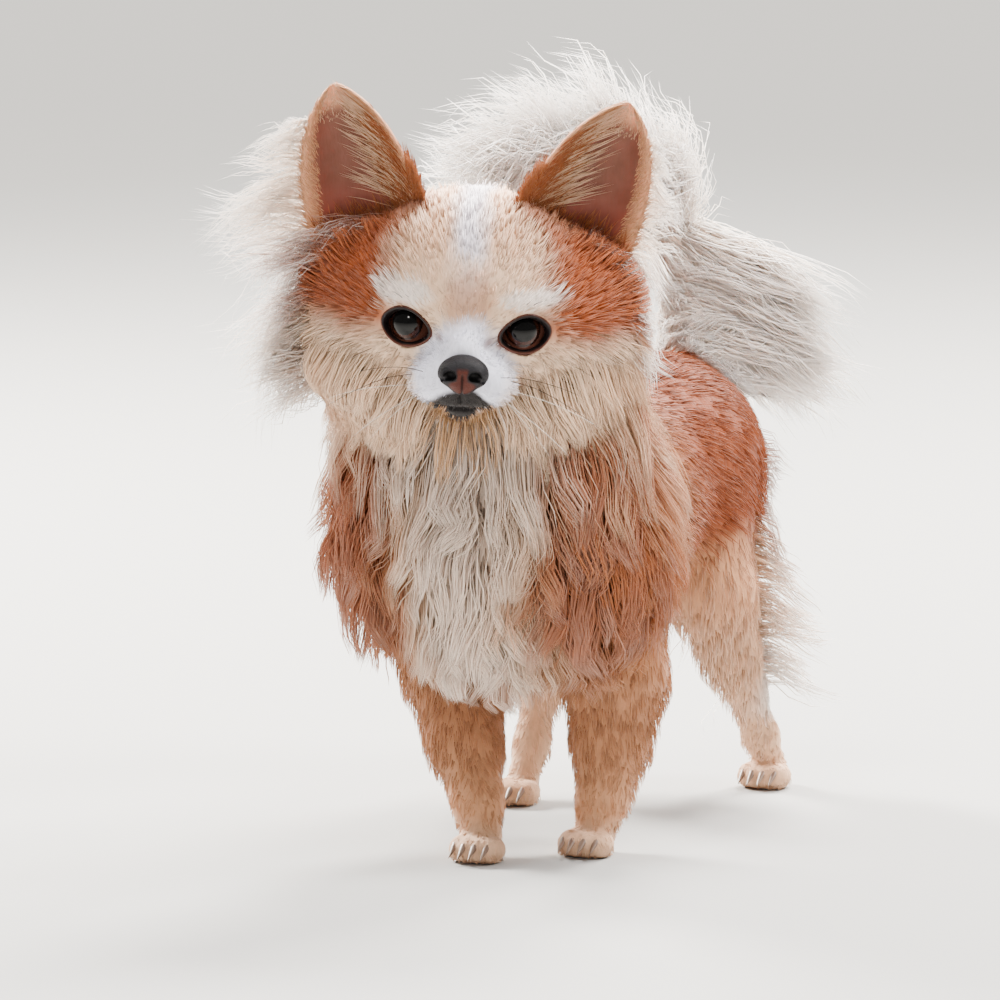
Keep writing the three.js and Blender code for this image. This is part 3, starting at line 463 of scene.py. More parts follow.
class Shader:
    """A material's node tree, built from its output backwards."""

    def __init__(self, name):
        self.material = bpy.data.materials.new(name)
        self.material.use_nodes = True
        self.tree = self.material.node_tree
        self.principled = self.tree.nodes["Principled BSDF"]

    def node(self, kind, inputs=(), **settings):
        made = self.tree.nodes.new(kind)
        for key, value in settings.items():
            setattr(made, key, value)
        for key, value in dict(inputs).items():
            self.give(made.inputs[key], value)
        return made

    def give(self, socket, value):
        if isinstance(value, bpy.types.NodeSocket):
            self.tree.links.new(value, socket)
        elif isinstance(value, bpy.types.Node):
            self.tree.links.new(value.outputs[0], socket)
        else:
            socket.default_value = value

    def set(self, **values):
        for key, value in values.items():
            self.give(self.principled.inputs[key.replace("_", " ")], value)
        return self

    def coat_colour(self):
        return self.node("ShaderNodeAttribute", attribute_name="coat").outputs["Color"]

    def object_place(self, stretch=(1, 1, 1)):
        place = self.node("ShaderNodeTexCoord").outputs["Object"]
        return self.node("ShaderNodeMapping", {"Vector": place, "Scale": stretch}).outputs[0]

    def noise(self, scale, detail=3, stretch=(1, 1, 1)):
        inputs = {"Vector": self.object_place(stretch), "Scale": scale, "Detail": detail}
        return self.node("ShaderNodeTexNoise", inputs).outputs["Fac"]

    def between(self, value, low, high):
        inputs = {"Value": value, "To Min": low, "To Max": high}
        return self.node("ShaderNodeMapRange", inputs).outputs[0]

    def math(self, operation, a, b=0.0):
        return self.node("ShaderNodeMath", {0: a, 1: b}, operation=operation).outputs[0]

    def mix(self, share, a, b, blend="MIX"):
        made = self.node("ShaderNodeMix", data_type="RGBA", blend_type=blend)
        self.give(made.inputs["Factor"], share)
        self.give(made.inputs["A"], a)
        self.give(made.inputs["B"], b)
        return made.outputs["Result"]

    def times(self, a, b):
        return self.mix(1.0, a, b, "MULTIPLY")

    def bump(self, height, strength, distance):
        inputs = {"Height": height, "Strength": strength, "Distance": distance}
        return self.node("ShaderNodeBump", inputs).outputs[0]


def rgb(red, green, blue):
    """A colour given in sRGB steps of 0 to 255, as linear light."""
    steps = np.array([red, green, blue]) / 255
    return np.where(steps <= 0.04045, steps / 12.92, ((steps + 0.055) / 1.055) ** 2.4)


def rgba(red, green, blue):
    return (*rgb(red, green, blue), 1)


# Markings of the coat, the same on the skin and on every tuft
TAN = rgb(172, 108, 65)
DEEP_TAN = rgb(142, 66, 25)
ORANGE = rgb(162, 78, 31)
PALE_TAN = rgb(222, 164, 122)
CREAM = rgb(238, 204, 172)
WHITE = rgb(253, 243, 236)
COOL_WHITE = rgb(240, 240, 255)
YELLOW_CREAM = rgb(190, 138, 84)
LIP_DARK = rgb(18, 12, 12)
TEAR_BROWN = rgb(96, 34, 16)


def ripple(p, size, seed):
    """A smooth noise in -1 to 1 from a few waves that cross."""
    draw = np.random.default_rng(seed)
    total = np.zeros(p.shape[:-1])
    for _ in range(6):
        wave = unit(draw.normal(size=3)) * (2 * math.pi / (size * draw.uniform(0.7, 1.5)))
        total += np.sin(p @ wave + draw.uniform(0, 2 * math.pi))
    return np.clip(total / 3, -1, 1)


def painter(colour):
    """Lays a tone over an array of colours, by a share for each."""

    def paint(tone, share):
        colour[...] = colour + (tone - colour) * np.clip(share, 0, 1)[..., None]

    return paint


def head_markings(p):
    h = to_head(p) + 1.5 * ripple(p, 14, 1)[..., None]
    x, y, z = h[..., 0], h[..., 1], h[..., 2]
    wide = np.abs(x)
    colour = np.broadcast_to(CREAM, p.shape).copy()
    paint = painter(colour)
    crown = fade(z, -6, 8)
    paint(PALE_TAN, crown * fade(wide, 40, 16) * (0.15 + 0.25 * fade(z, 14, 26)))
    paint(TAN, 0.25 * fade(wide, 16, 27) * fade(z, 20, 36))
    paint(ORANGE, fade(wide, 20, 34) * fade(z, -12, -2) * fade(z, 60, 40) * fade(y, 24, 8))
    for side in (1, -1):
        paint(ORANGE, 0.7 * spot(h, (27 * side, -8, 33), (9, 9, 9), 0.6))
    paint(TAN, 0.7 * fade(y, 8, 24) * fade(z, -20, 0) * fade(wide, 46, 26))
    paint(TAN, 0.55 * fade(wide, 22, 42) * fade(z, -8, -24) * fade(y, -28, -4))
    blaze = fade(wide, 9, 1.5) * fade(z, -2, 14) * fade(z, 50, 38)
    paint(COOL_WHITE, blaze * (0.25 + 0.55 * fade(z, 16, 24)))
    paint(TAN, 0.5 * spot(h, (1, -34, 6), (5.5, 14, 6.5), 0.9))
    for side in (-1, 1):
        paint(WHITE, 0.8 * spot(h, (21 * side, -26, 7.5), (8, 14, 3.4), 0.7))
    muzzle = spot(h, (0, -40, -18), (15, 17, 12.5), 0.5)
    paint(COOL_WHITE, muzzle)
    paint(COOL_WHITE, 0.8 * fade(wide, 10, 4) * fade(y, -22, -30) * fade(z, -18, -12) * fade(z, 3, -3))
    chin = spot(h, (0, -30, -39), (17, 14, 7), 0.5) * fade(z, -30, -33)
    paint(YELLOW_CREAM, 0.75 * chin)
    lip = np.minimum(wide / 12.7, 1.2)
    top, bottom = -22.6 - 7 * lip**1.3, -35.5 + 4.5 * lip**2
    lips = fade(z, top + 1.2, top - 1.6) * fade(z, bottom - 1.2, bottom + 0.8) * fade(y, -31, -35)
    paint(LIP_DARK, lips * fade(wide, 13.5, 11.5) * fade(z, -19, -25))
    for side in (-1, 1):
        q = from_eye(h, side)
        rim = fade(almond_share(q), 1.36, 1.2)
        paint(TEAR_BROWN, rim * (0.35 + 0.5 * fade(q[..., 2], 0, -4)))
        corner = mirrored(EYE_CENTRE + (-10.5, -7, -2.5), side)
        paint(TEAR_BROWN, 0.8 * spot(h, corner, (2.2, 6, 1.8), 0.9))
    return colour


def body_markings(p):
    q = p + 3 * ripple(p, 26, 2)[..., None]
    x, y, z = q[..., 0], q[..., 1], q[..., 2]
    colour = np.broadcast_to(TAN, p.shape).copy()
    paint = painter(colour)
    paint(DEEP_TAN, fade(y, -20, 25) * fade(z, 88, 104))
    paint(ORANGE, 0.55 * fade(np.abs(x), 18, 40) * fade(y, -30, -60) * fade(z, 80, 110))
    paint(CREAM, 0.8 * fade(z, 92, 76) * fade(np.abs(x), 30, 12) * fade(y, -80, -55))
    half = 20 + 5 * np.sin(z * 0.09)
    frill = fade(np.abs(x - 3), half + 10, half - 6) * fade(y, -72, -88) * fade(z, 50, 62)
    paint(CREAM, 0.9 * frill)
    paint(WHITE, 0.45 * frill * fade(np.abs(x - 3), half, half * 0.3))
    paint(CREAM, 0.8 * fade(z, 160, 180) * fade(y, -60, -90))
    paint(WHITE, 0.4 * fade(z, 150, 170) * fade(np.abs(x - 3), 40, 24) * fade(y, -86, -100))
    # Legs: tan to pale toes in front, cream below the thighs behind
    fore = fade(y, -20, -30) * fade(z, 80, 62)
    paint(TAN, fore)
    paint(CREAM, fore * 0.12)
    paint(PALE_TAN, fore * fade(z, 46, 20) * 0.6)
    paint(CREAM, fore * fade(z, 16, 6) * 0.5)
    hind = fade(y, 15, 30)
    paint(PALE_TAN, hind * fade(z, 112, 90) * 0.9)
    paint(CREAM, hind * fade(z, 92, 55) * 0.45)
    paint(WHITE, fade(y, 80, 98) * fade(z, 136, 98) * fade(z, 26, 40) * 0.9)
    # Tail: tan at its root, pale along its crest and in its plume
    risen = fade(tail_distance(p) - trunk_distance(p), 2, -6)
    paint(CREAM, risen)
    paint(WHITE, 0.5 * risen)
    paint(WHITE, 0.9 * risen * fade(y, 96, 80) * fade(z, 205, 225))
    return colour


def markings(p):
    """The coat's colour at a place on the skin."""
    on_head = fade(smooth_min(neck_distance(p), trunk_distance(p), 18) - head_distance(p), -3, 6)
    mixed = on_head[..., None]
    return head_markings(p) * mixed + body_markings(p) * (1 - mixed)


# Camera, at the photo's angle
CAMERA_TURN = math.radians(25)
CAMERA_RISE = math.radians(7.5)
CAMERA_DISTANCE = 2600
CAMERA_FOCUS = 7.02  # focal length over the width of the picture
CAMERA_SEES = 60  # metres
SENSOR = 36
TARGET_ACROSS = -29.5
TARGET_HEIGHT = 122

right = np.array([math.cos(CAMERA_TURN), math.sin(CAMERA_TURN), 0])
away = np.array([-math.sin(CAMERA_TURN), math.cos(CAMERA_TURN), 0])
ahead = away * math.cos(CAMERA_RISE) - np.array([0, 0, math.sin(CAMERA_RISE)])
above = np.cross(right, ahead)
target = right * TARGET_ACROSS + np.array([0, 0, TARGET_HEIGHT])
camera_at = target - ahead * CAMERA_DISTANCE

lens = bpy.data.cameras.new("camera")
lens.sensor_width = SENSOR
lens.lens = SENSOR * CAMERA_FOCUS
lens.clip_end = CAMERA_SEES
camera = linked("camera", lens)
turn = Matrix((right, above, -ahead)).transposed().to_4x4()
camera.matrix_world = Matrix.Translation(Vector((camera_at + SHIFT) * MM)) @ turn
bpy.context.scene.camera = camera


# Skin


def skin_material():
    shader = Shader("short_coat")
    base = shader.coat_colour()
    hairs = shader.noise(900, 4, (1.0, 1.0, 0.22))
    mottle = shader.noise(140, 3)
    darker = shader.times(base, shader.between(hairs, 0.62, 1.08))
    tone = shader.mix(shader.between(mottle, 0.0, 0.3), darker, base)
    shader.set(Base_Color=tone, Roughness=shader.between(hairs, 0.6, 0.85))
    shader.set(Normal=shader.bump(hairs, 0.6, 0.0006), Specular_IOR_Level=0.25, Sheen_Weight=0.1)
    return shader.material


SKIN_COARSE = 2.3
SKIN_FINE = 0.9  # about the face
xs = stations(-66, 66, SKIN_COARSE, -34, 46, SKIN_FINE)
ys = stations(-156, 132, SKIN_COARSE, -156, -108, SKIN_FINE)
zs = stations(-1.2, 256, SKIN_COARSE, 162, 226, SKIN_FINE)
SKIN_POINTS, SKIN_FACES = surface(skin_distance, xs, ys, zs)
SKIN_NODES = ["head", "muzzle", "lower_jaw", "neck", "chest", "loin", "rump"]
SKIN_NODES += [f"foreleg_{side}_{part}" for side in EARS for part in ("upper_arm", "forearm", "paw")]
SKIN_NODES += [f"hindleg_{side}_{part}" for side in EARS for part in ("thigh", "shank", "paw")]
SKIN_NODES += ["tail_root", "tail_middle", "tail_tip"]
skin = mesh_object("skin", SKIN_POINTS, SKIN_FACES, skin_material(), markings(SKIN_POINTS))
set_in_place(skin, SKIN_NODES)

# Eyes, each a ball with its gaze along the axis of its rings
EYE_RINGS = 90
EYE_COLUMNS = 96
IRIS_RADIUS = 6.1
PUPIL_RADIUS = 4.2
LOOK_ASIDE = {"right": 950, "left": -250}  # how far beside the camera each eye looks


def eye_material():
    shader = Shader("eye")
    base = shader.coat_colour()
    fibres = shader.between(shader.noise(700, 4), 0.75, 1.25)
    tone = shader.times(base, fibres)
    shader.set(Base_Color=tone, Roughness=0.12, Coat_Weight=0.8, Coat_Roughness=0.01)
    shader.set(Specular_IOR_Level=0.06, Coat_IOR=1.3)
    return shader.material


CORNEA_RISE = 0.9
IRIS_BROWN = rgb(46, 20, 11)
PUPIL_BLACK = 0.002
EYE_WHITE = rgb(66, 38, 30)  # brown, as so little of it shows in the shade of the lids


def eye_piece(name, side, material):
    centre = from_head(mirrored(EYE_CENTRE, side))
    gaze = unit(camera_at - right * LOOK_ASIDE[name] - centre)
    across = unit(np.cross(gaze, [0, 0, 1.0]))
    high = np.cross(across, gaze)
    tilt = np.linspace(0, math.pi, EYE_RINGS)[:, None]
    turn = np.linspace(0, 2 * math.pi, EYE_COLUMNS, endpoint=False)[None]
    cornea = EYE_RADIUS + CORNEA_RISE * np.exp(-((tilt / 0.55) ** 4))
    flat = (np.sin(tilt) * cornea)[..., None]
    points = gaze * (np.cos(tilt) * cornea)[..., None] + 0 * turn[..., None]
    points = points + flat * (across * np.cos(turn)[..., None] + high * np.sin(turn)[..., None])
    radius = np.broadcast_to(EYE_RADIUS * np.sin(tilt), (EYE_RINGS, EYE_COLUMNS))
    radius = np.where(tilt > math.pi / 2, 99, radius)
    # Painted light and shade: the iris is lit at its bottom and shaded at its top, twice as bright below as
    # above.
    iris = IRIS_BROWN * (0.7 + 0.7 * fade(-np.sin(turn), 0, 1))[..., None]
    iris = iris * (0.85 + 0.15 * np.sin(turn * 37 + 3 * np.sin(turn * 11)))[..., None]
    colour = np.broadcast_to(iris, points.shape)
    pupil = fade(radius, PUPIL_RADIUS + 0.25, PUPIL_RADIUS)[..., None]
    colour = colour * (1 - pupil) + PUPIL_BLACK * pupil
    limbus = fade(radius, IRIS_RADIUS - 1.0, IRIS_RADIUS - 0.1)[..., None]
    colour = colour * (1 - 0.8 * limbus)
    white = fade(radius, IRIS_RADIUS, IRIS_RADIUS + 0.35)[..., None]
    colour = colour * (1 - white) + EYE_WHITE * white
    faces = tube_faces(EYE_RINGS, EYE_COLUMNS)[:, [0, 3, 2, 1]]
    points = centre + points.reshape(-1, 3)
    piece = mesh_object(f"eyeball_{name}", points, faces, material, colour.reshape(-1, 3))
    set_in_place(piece, [f"eye_{name}"])


def skin_depth(across, height):
    """How far in front of the left eye's centre the head's surface is, along the gaze."""
    start = EYE_CENTRE + across[:, None] * LID_WIDE + height[:, None] * LID_HIGH
    found = np.zeros(len(across))
    for depth in np.linspace(0, LID_REACH, 200):
        found[closed_head_distance(start + depth * GAZE) < 0] = depth
    return found


# Lids: a ring that rolls from the eyeball over its black rim down into the skin
LID_SIDES = 96
LID_LOOPS = [  # growth of the almond, least height over the eyeball, height over the skin
    (0.96, 0.05, -9),
    (1.0, 0.4, -1.6),
    (1.05, 0.8, -0.4),
    (1.10, 0.9, 0.5),
    (1.14, 0.75, 0.75),
    (1.19, 0.5, 0.7),
    (1.24, 0.1, 0.4),
    (1.30, -2.0, -0.8),
]
RIM_DARK = rgb(15, 10, 10)
FOLD_BROWN = rgb(88, 48, 36)


def lid_material():
    shader = Shader("lid")
    base = shader.coat_colour()
    grain = shader.noise(1500, 3)
    tone = shader.mix(shader.between(grain, 0.0, 0.4), base, (0.01, 0.006, 0.006, 1))
    shader.set(Base_Color=tone, Roughness=shader.between(grain, 0.35, 0.55))
    shader.set(Normal=shader.bump(grain, 0.35, 0.0003), Specular_IOR_Level=0.18)
    return shader.material


def lid_piece(name, side, material):
    turn = np.linspace(0, 2 * math.pi, LID_SIDES, endpoint=False)
    upper, lower = np.maximum(np.sin(turn), 0), np.maximum(-np.sin(turn), 0)
    edge = 1.05 + 0.12 * (1 - upper)
    loops, colours = [], []
    for grow, over_ball, over_head in LID_LOOPS:
        wide = 1 + (grow - 1) * (1 + 0.3 * lower)
        across, height = almond_point(turn, wide)
        flat = across**2 + height**2
        ball = np.sqrt(np.maximum((EYE_RADIUS + over_ball) ** 2 - flat, 4))
        depth = np.maximum(ball, skin_depth(across, height) + over_head)
        place = EYE_CENTRE + across[:, None] * LID_WIDE + height[:, None] * LID_HIGH
        loops.append(from_head(mirrored(place + depth[:, None] * GAZE, side)))
        rim = fade(np.full(LID_SIDES, grow), edge + 0.06, edge)[:, None]
        colours.append(FOLD_BROWN + (RIM_DARK - FOLD_BROWN) * rim)
    faces = tube_faces(len(loops), LID_SIDES, closed=True)
    if side > 0:
        faces = faces[:, ::-1]
    points = np.concatenate(loops)
    piece = mesh_object(f"lids_{name}", points, faces, material, np.concatenate(colours))
    set_in_place(piece)


# Nose leather with its nostrils, in the head's frame
NOSTRIL_AT = np.array([4.7, -52.6, -15.0])
NOSE_SET = np.array([0.9, 0.3, -2.2])  # where the photo has the nose, from the solid's place
NOSTRIL_RADII = (2.5, 3.4, 1.9)
NOSE_SCALE = 0.93
NOSE_STEP = 0.33
NOSE_BLACK = rgb(15, 13, 18)
NOSE_BROWN = rgb(66, 22, 9)


def at_solid_nose(h):
    return (h - NOSE_TIP - NOSE_SET) / NOSE_SCALE + NOSE_TIP


def nose_distance(h):
    """The nose leather; its numbers are at the solid's place and size."""
    h = at_solid_nose(h)
    wide = np.abs(h[..., 0])
    q = np.stack([wide, h[..., 1], h[..., 2]], -1)
    d = form_distance(q, mass((0, -46.6, -14.2), (8.9, 6.6, 6.6))[0])
    d = smooth_min(d, form_distance(q, mass((5.2, -47.8, -15.0), (4.3, 4.9, 4.4))[0]), 2)
    d = smooth_min(d, form_distance(q, mass((0, -46.6, -19.2), (4.4, 5.6, 3.8))[0]), 3)
    hole = form_distance(q, mass(NOSTRIL_AT, NOSTRIL_RADII)[0])
    slit = blended(q, limb((6.2, -52.2, -15.8, 1.0), (8.0, -49.6, -17.0, 0.8), (10, -46, -17.6, 0.5)), 1)
    d = np.maximum(d, -smooth_min(hole, slit, 1.2))
    groove = np.exp(-((wide / 0.45) ** 2)) * fade(h[..., 2], -13.5, -15.5)
    return d + 0.75 * groove


def nose_material():
    shader = Shader("nose_leather")
    base = shader.coat_colour()
    place = shader.object_place()
    cells = shader.node("ShaderNodeTexVoronoi", {"Vector": place, "Scale": 1700.0}).outputs["Distance"]
    speckle = shader.between(shader.noise(600, 4), 0.8, 1.25)
    tone = shader.times(base, speckle)
    shader.set(Base_Color=tone, Roughness=shader.between(cells, 0.72, 0.5))
    shader.set(Normal=shader.bump(cells, 0.5, 0.00022), Specular_IOR_Level=0.28)
    return shader.material


def nose_colours(h):
    h = at_solid_nose(h)
    x, y, z = h[..., 0], h[..., 1], h[..., 2]
    wide = np.abs(x)
    colour = np.broadcast_to(NOSE_BLACK, h.shape).copy()
    middle = fade(wide, 2.6 + 1.0 * fade(z, -16, -19), 1.6) * fade(z, -11.4, -13.4) * fade(y, -49, -51)
    middle = np.maximum(middle, spot(h, (0, -52, -19.3), (4.3, 3.5, 2.2), 0.4) * fade(y, -49, -51))
    colour += (NOSE_BROWN - colour) * (middle * fade(z, -22.4, -21.4))[..., None]
    # Painted shade: darker down the groove in the middle of the nose.
    groove = np.exp(-((wide / 0.42) ** 2)) * fade(z, -13, -15)
    colour *= 1 - 0.7 * groove[..., None]
    # Painted shade: nearly black inside the nostrils, where shade falls in the holes.
    depth = form_distance(np.stack([wide, y, z], -1), mass(NOSTRIL_AT, NOSTRIL_RADII)[0])
    inside = fade(depth, 0.7, 0.1)[..., None]
    return colour * (1 - 0.93 * inside)


def nose_piece():
    ranges = ((-11, 11.3), (-56, -37), (-28, -7.5))
    points, faces = surface(nose_distance, *(np.arange(low, high, NOSE_STEP) for low, high in ranges))
    piece = mesh_object("nose_leather", from_head(points), faces, nose_material(), nose_colours(points))
    set_in_place(piece, ["nose"])


# Ears: a cupped sheet with two faces and a rolled outer rim
EAR_HALF_WIDTH = 22
EAR_CUP = 11
EAR_HALF_THICKNESS = 0.9
EAR_ROWS = 60
EAR_COLUMNS = 36
EAR_PINK = rgb(112, 54, 38)
EAR_BROWN = rgb(92, 54, 38)


def ear_point(ear, across, along, depth=0.0):
    """A place on the ear: across from -1 at its inner edge to 1, along from 0 at its base to 1."""
    base = np.array(ear["base"], float)
    up = np.array(ear["tip"]) - base
    wide = unit(np.array([1, 0.3, -0.3]))
    back = unit(np.cross(wide, up))
    back = back * np.sign(back[1])
    safe = np.clip(along, 0, 0.9995)
    half = EAR_HALF_WIDTH * (1 - safe**2.6) ** 0.75
    cup = EAR_CUP * (1 - across**2) * (half / EAR_HALF_WIDTH) ** 0.8
    roll = 1.5 * fade(across, 0.55, 0.85) * fade(across, 1.02, 0.9)
    roll = roll + 0.7 * np.exp(-(((across + 0.25 - 0.5 * along) / 0.12) ** 2)) * fade(along, 0.7, 0.2)
    step = (across * half)[..., None] * wide + (cup - roll + depth)[..., None] * back
    return from_head(mirrored(base + np.asarray(along)[..., None] * up + step, ear["side"]))


def ear_colours(across, along, front):
    rim = np.maximum(fade(np.abs(across), 0.72, 0.92), fade(along, 0.78, 0.92))
    hollow = EAR_PINK + (EAR_BROWN - EAR_PINK) * fade(along, 0.15, 0.45)[..., None]
    inner = hollow + (PALE_TAN - hollow) * rim[..., None]
    outer = TAN + (CREAM - TAN) * (0.35 * fade(along, 0.5, 0.9))[..., None]
    return inner if front else outer


def ear_material():
    shader = Shader("ear")
    base = shader.coat_colour()
    veins = shader.noise(160, 4)
    fuzz = shader.noise(1100, 3, (1, 1, 0.25))
    tone = shader.mix(shader.between(veins, 0.0, 0.35), base, (0.42, 0.17, 0.13, 1))
    shader.set(Base_Color=tone, Roughness=shader.between(fuzz, 0.55, 0.8))
    shader.set(Normal=shader.bump(fuzz, 0.4, 0.0004), Specular_IOR_Level=0.3)
    shader.set(Subsurface_Weight=0.12, Subsurface_Scale=0.004)
    return shader.material


def ear_piece(name, ear, material):
    heights = np.linspace(-0.1, 0.995, EAR_ROWS)
    places_across = np.sin(np.linspace(-1, 1, EAR_COLUMNS) * math.pi / 2)
    along, across = np.meshgrid(heights, places_across, indexing="ij")
    sheets, tones = [], []
    for front, depth in ((True, -EAR_HALF_THICKNESS), (False, EAR_HALF_THICKNESS)):
        sheets.append(ear_point(ear, across, along, np.full(across.shape, depth)))
        tones.append(ear_colours(across, along, front))
    loop = np.concatenate([sheets[0], sheets[1][:, ::-1]], 1)
    tone = np.concatenate([tones[0], tones[1][:, ::-1]], 1)
    rows, sides = loop.shape[:2]
    caps = []
    for row, flip in ((0, True), (rows - 1, False)):
        onward = row * sides + np.arange(sides // 2)
        backward = row * sides + sides - 1 - np.arange(sides // 2)
        cap = np.stack([onward[:-1], onward[1:], backward[1:], backward[:-1]], 1)
        caps.append(cap[:, ::-1] if flip else cap)
    faces = np.concatenate([tube_faces(rows, sides)] + caps)
    if ear["side"] < 0:
        faces = faces[:, ::-1]
    piece = mesh_object(f"ear_skin_{name}", loop.reshape(-1, 3), faces, material, tone.reshape(-1, 3))
    set_in_place(piece, [f"ear_{name}"])


# Claws: short curved horns in front of each toe
CLAW_LENGTH = 5.0
CLAW_RADIUS = 1.15
CLAW_SIDES = 10
CLAW_STEPS = 9


def claw_points(leg, n):
    x, y, z = toe_centre(leg, n)
    t = np.linspace(0, 1, CLAW_STEPS)[:, None]
    turn = np.linspace(0, 2 * math.pi, CLAW_SIDES, endpoint=False)[None]
    bend = 0.35 + 0.95 * t
    ahead_of_root = CLAW_LENGTH * np.sin(bend) * t
    radius = CLAW_RADIUS * (1 - t**1.6) + 0.12
    px = x + radius * np.cos(turn)
    py = y - TOE_RADII[1] + 1.4 - ahead_of_root + radius * 0.6 * np.sin(turn)
    pz = z + 1.6 - 3.6 * t**1.5 + radius * 1.25 * np.sin(turn)
    return np.stack([px, py, np.maximum(pz, 0.35)], -1)


def claw_material():
    shader = Shader("claw")
    grain = shader.noise(500, 3, (1, 0.3, 1))
    tone = shader.mix(shader.between(grain, 0.0, 1.0), rgba(92, 70, 58), rgba(150, 122, 104))
    shader.set(Base_Color=tone, Roughness=shader.between(grain, 0.3, 0.45))
    shader.set(Normal=shader.bump(grain, 0.3, 0.0002))
    return shader.material


def claws_piece(leg, material):
    points = np.concatenate([claw_points(leg, n).reshape(-1, 3) for n in range(TOE_COUNT)])
    one = tube_faces(CLAW_STEPS, CLAW_SIDES)
    faces = np.concatenate([one + n * CLAW_STEPS * CLAW_SIDES for n in range(TOE_COUNT)])
    piece = mesh_object(f"claws_{leg}", points, faces, material)
    set_in_place(piece, [f"{leg}_claw_{n + 1}" for n in range(TOE_COUNT)])


eye_look = eye_material()
lid_look = lid_material()
ear_look = ear_material()
claw_look = claw_material()
for name, ear in EARS.items():
    eye_piece(name, ear["side"], eye_look)
    lid_piece(name, ear["side"], lid_look)
    ear_piece(name, ear, ear_look)
nose_piece()
for leg in LEGS:
    claws_piece(leg, claw_look)


# Coat: hairs as thin three-sided tapers, grown over the skin's distance held on a grid
GRID_STEP = 3.0
GRID_LOW = np.array([-117.0, -171, -6])
GRID_HIGH = np.array([117.0, 180, 306])
HAIR_SINK = 0.5
HAIR_THICKNESS = 0.45  # over its width
LOOSE_SHARE = 0.06  # of the hairs, that no tuft draws in
PATCH = 0.003  # a hair's share of its map

grid_axes = [np.arange(a, b + GRID_STEP, GRID_STEP) for a, b in zip(GRID_LOW, GRID_HIGH)]
grid_places = np.stack(np.meshgrid(*grid_axes, indexing="ij"), -1)
grid_values = np.concatenate([skin_distance(part) for part in grid_places])
grid_values = grid_values.reshape(grid_places.shape[:3])
grid_slopes = np.stack(np.gradient(grid_values, GRID_STEP), -1)
GRID = np.concatenate([grid_values[..., None], grid_slopes], -1).astype(np.float32)


def over_skin(p):
    """Height over the skin and the unit vector away from it, read from the grid."""
    q = np.clip((p - GRID_LOW) / GRID_STEP, 0, np.array(GRID.shape[:3]) - 1.001)
    corner = q.astype(int)
    share = q - corner
    total = 0
    for offset in np.ndindex(2, 2, 2):
        weight = np.prod(np.where(offset, share, 1 - share), axis=-1)
        total = total + weight[..., None] * GRID[tuple((corner + offset)[..., k] for k in range(3))]
    return total[..., 0], unit(total[..., 1:])


FACE_CORNERS = SKIN_POINTS[SKIN_FACES]
FACE_CENTRES = FACE_CORNERS.mean(1)
FACE_CROSSES = np.cross(FACE_CORNERS[:, 2] - FACE_CORNERS[:, 0], FACE_CORNERS[:, 3] - FACE_CORNERS[:, 1])
FACE_AREAS = np.linalg.norm(FACE_CROSSES, axis=-1)
FACE_NORMALS = unit(FACE_CROSSES)
PART_FIELDS = {"head": head_distance, "neck": neck_distance, "trunk": trunk_distance, "tail": tail_distance}
PART_FIELDS.update({leg: (lambda p, leg=leg: leg_distance(p, leg)) for leg in LEGS})
PART_NAMES = list(PART_FIELDS)
FACE_PARTS = np.argmin([field(FACE_CENTRES) for field in PART_FIELDS.values()], axis=0)


def skin_roots(parts, count, weight, seed):
    """Places at random over parts of the skin, closer together where the weight is larger."""
    draw = np.random.default_rng(seed)
    wanted = np.isin(FACE_PARTS, [PART_NAMES.index(part) for part in parts])
    share = FACE_AREAS * wanted * np.maximum(weight(FACE_CENTRES, FACE_NORMALS), 0)
    pick = draw.choice(len(share), count, p=share / share.sum())
    u, v = draw.random((2, count, 1))
    a, b, c, d = FACE_CORNERS[pick].transpose(1, 0, 2)
    return (a * (1 - u) + b * u) * (1 - v) + (d * (1 - u) + c * u) * v


def grown(roots, lie, length, steps, rise, seed, most=None, stray=0.06):
    """Places along each hair as it follows the lie, at its own height in the coat."""
    draw = np.random.default_rng(seed)
    aside = draw.normal(0, stray, (len(roots), 3))
    layer = draw.uniform(0.2, 1, len(roots)) ** 0.8
    out = over_skin(roots)[1]
    places = [roots - out * HAIR_SINK]
    p = roots
    for i in range(1, steps + 1):
        t = i / steps
        ahead = unit(unit(lie(p, t, out)) + aside)
        normal = over_skin(p)[1]
        ahead = ahead - normal * np.minimum(dot(ahead, normal), 0)
        p = p + unit(ahead) * (length / steps)[:, None]
        height, normal = over_skin(p)
        p = p + normal * np.maximum(rise * layer * t**0.7 - height, 0)[:, None]
        if most is not None:
            highest = most(p) if callable(most) else most
            p = p - normal * np.maximum(height - highest, 0)[:, None] * 0.8
        p = np.stack([p[:, 0], p[:, 1], np.maximum(p[:, 2], 0.5)], -1)
        places.append(p)
    return np.stack(places, 1), out, layer


def tufted(paths, out, spacing, pull, wave, cycles, seed):
    """Draws hairs together into tufts, each with its own wave; a few stay loose."""
    draw = np.random.default_rng(seed)
    roots = paths[:, 0]
    guides = draw.permutation(len(paths))[: max(2, int(len(paths) / spacing))]
    tree = KDTree(len(guides))
    for k, guide in enumerate(guides):
        tree.insert(roots[guide], k)
    tree.balance()
    own = guides[[tree.find(root)[1] for root in roots]]
    t = np.linspace(0, 1, paths.shape[1])[None, :, None]
    freedom = np.where(draw.random(len(paths)) < LOOSE_SHARE, 0.15, draw.uniform(0.8, 1, len(paths)))
    share = pull * freedom[:, None, None] * t**1.2
    spread = (roots - roots[own])[:, None] * 0.25
    together = paths * (1 - share) + (paths[own] + spread) * share
    side = unit(np.cross(out[own], paths[own, -1] - paths[own, 0]))[:, None]
    phase = draw.uniform(0, 2 * math.pi, len(paths))[own][:, None, None]
    size = wave * draw.uniform(0.5, 1.3, len(paths))[own][:, None, None]
    turn = 2 * math.pi * cycles * t + phase
    lifted = out[own][:, None] * np.cos(turn) * 0.45
    return together + size * t * (side * np.sin(turn) + lifted), own


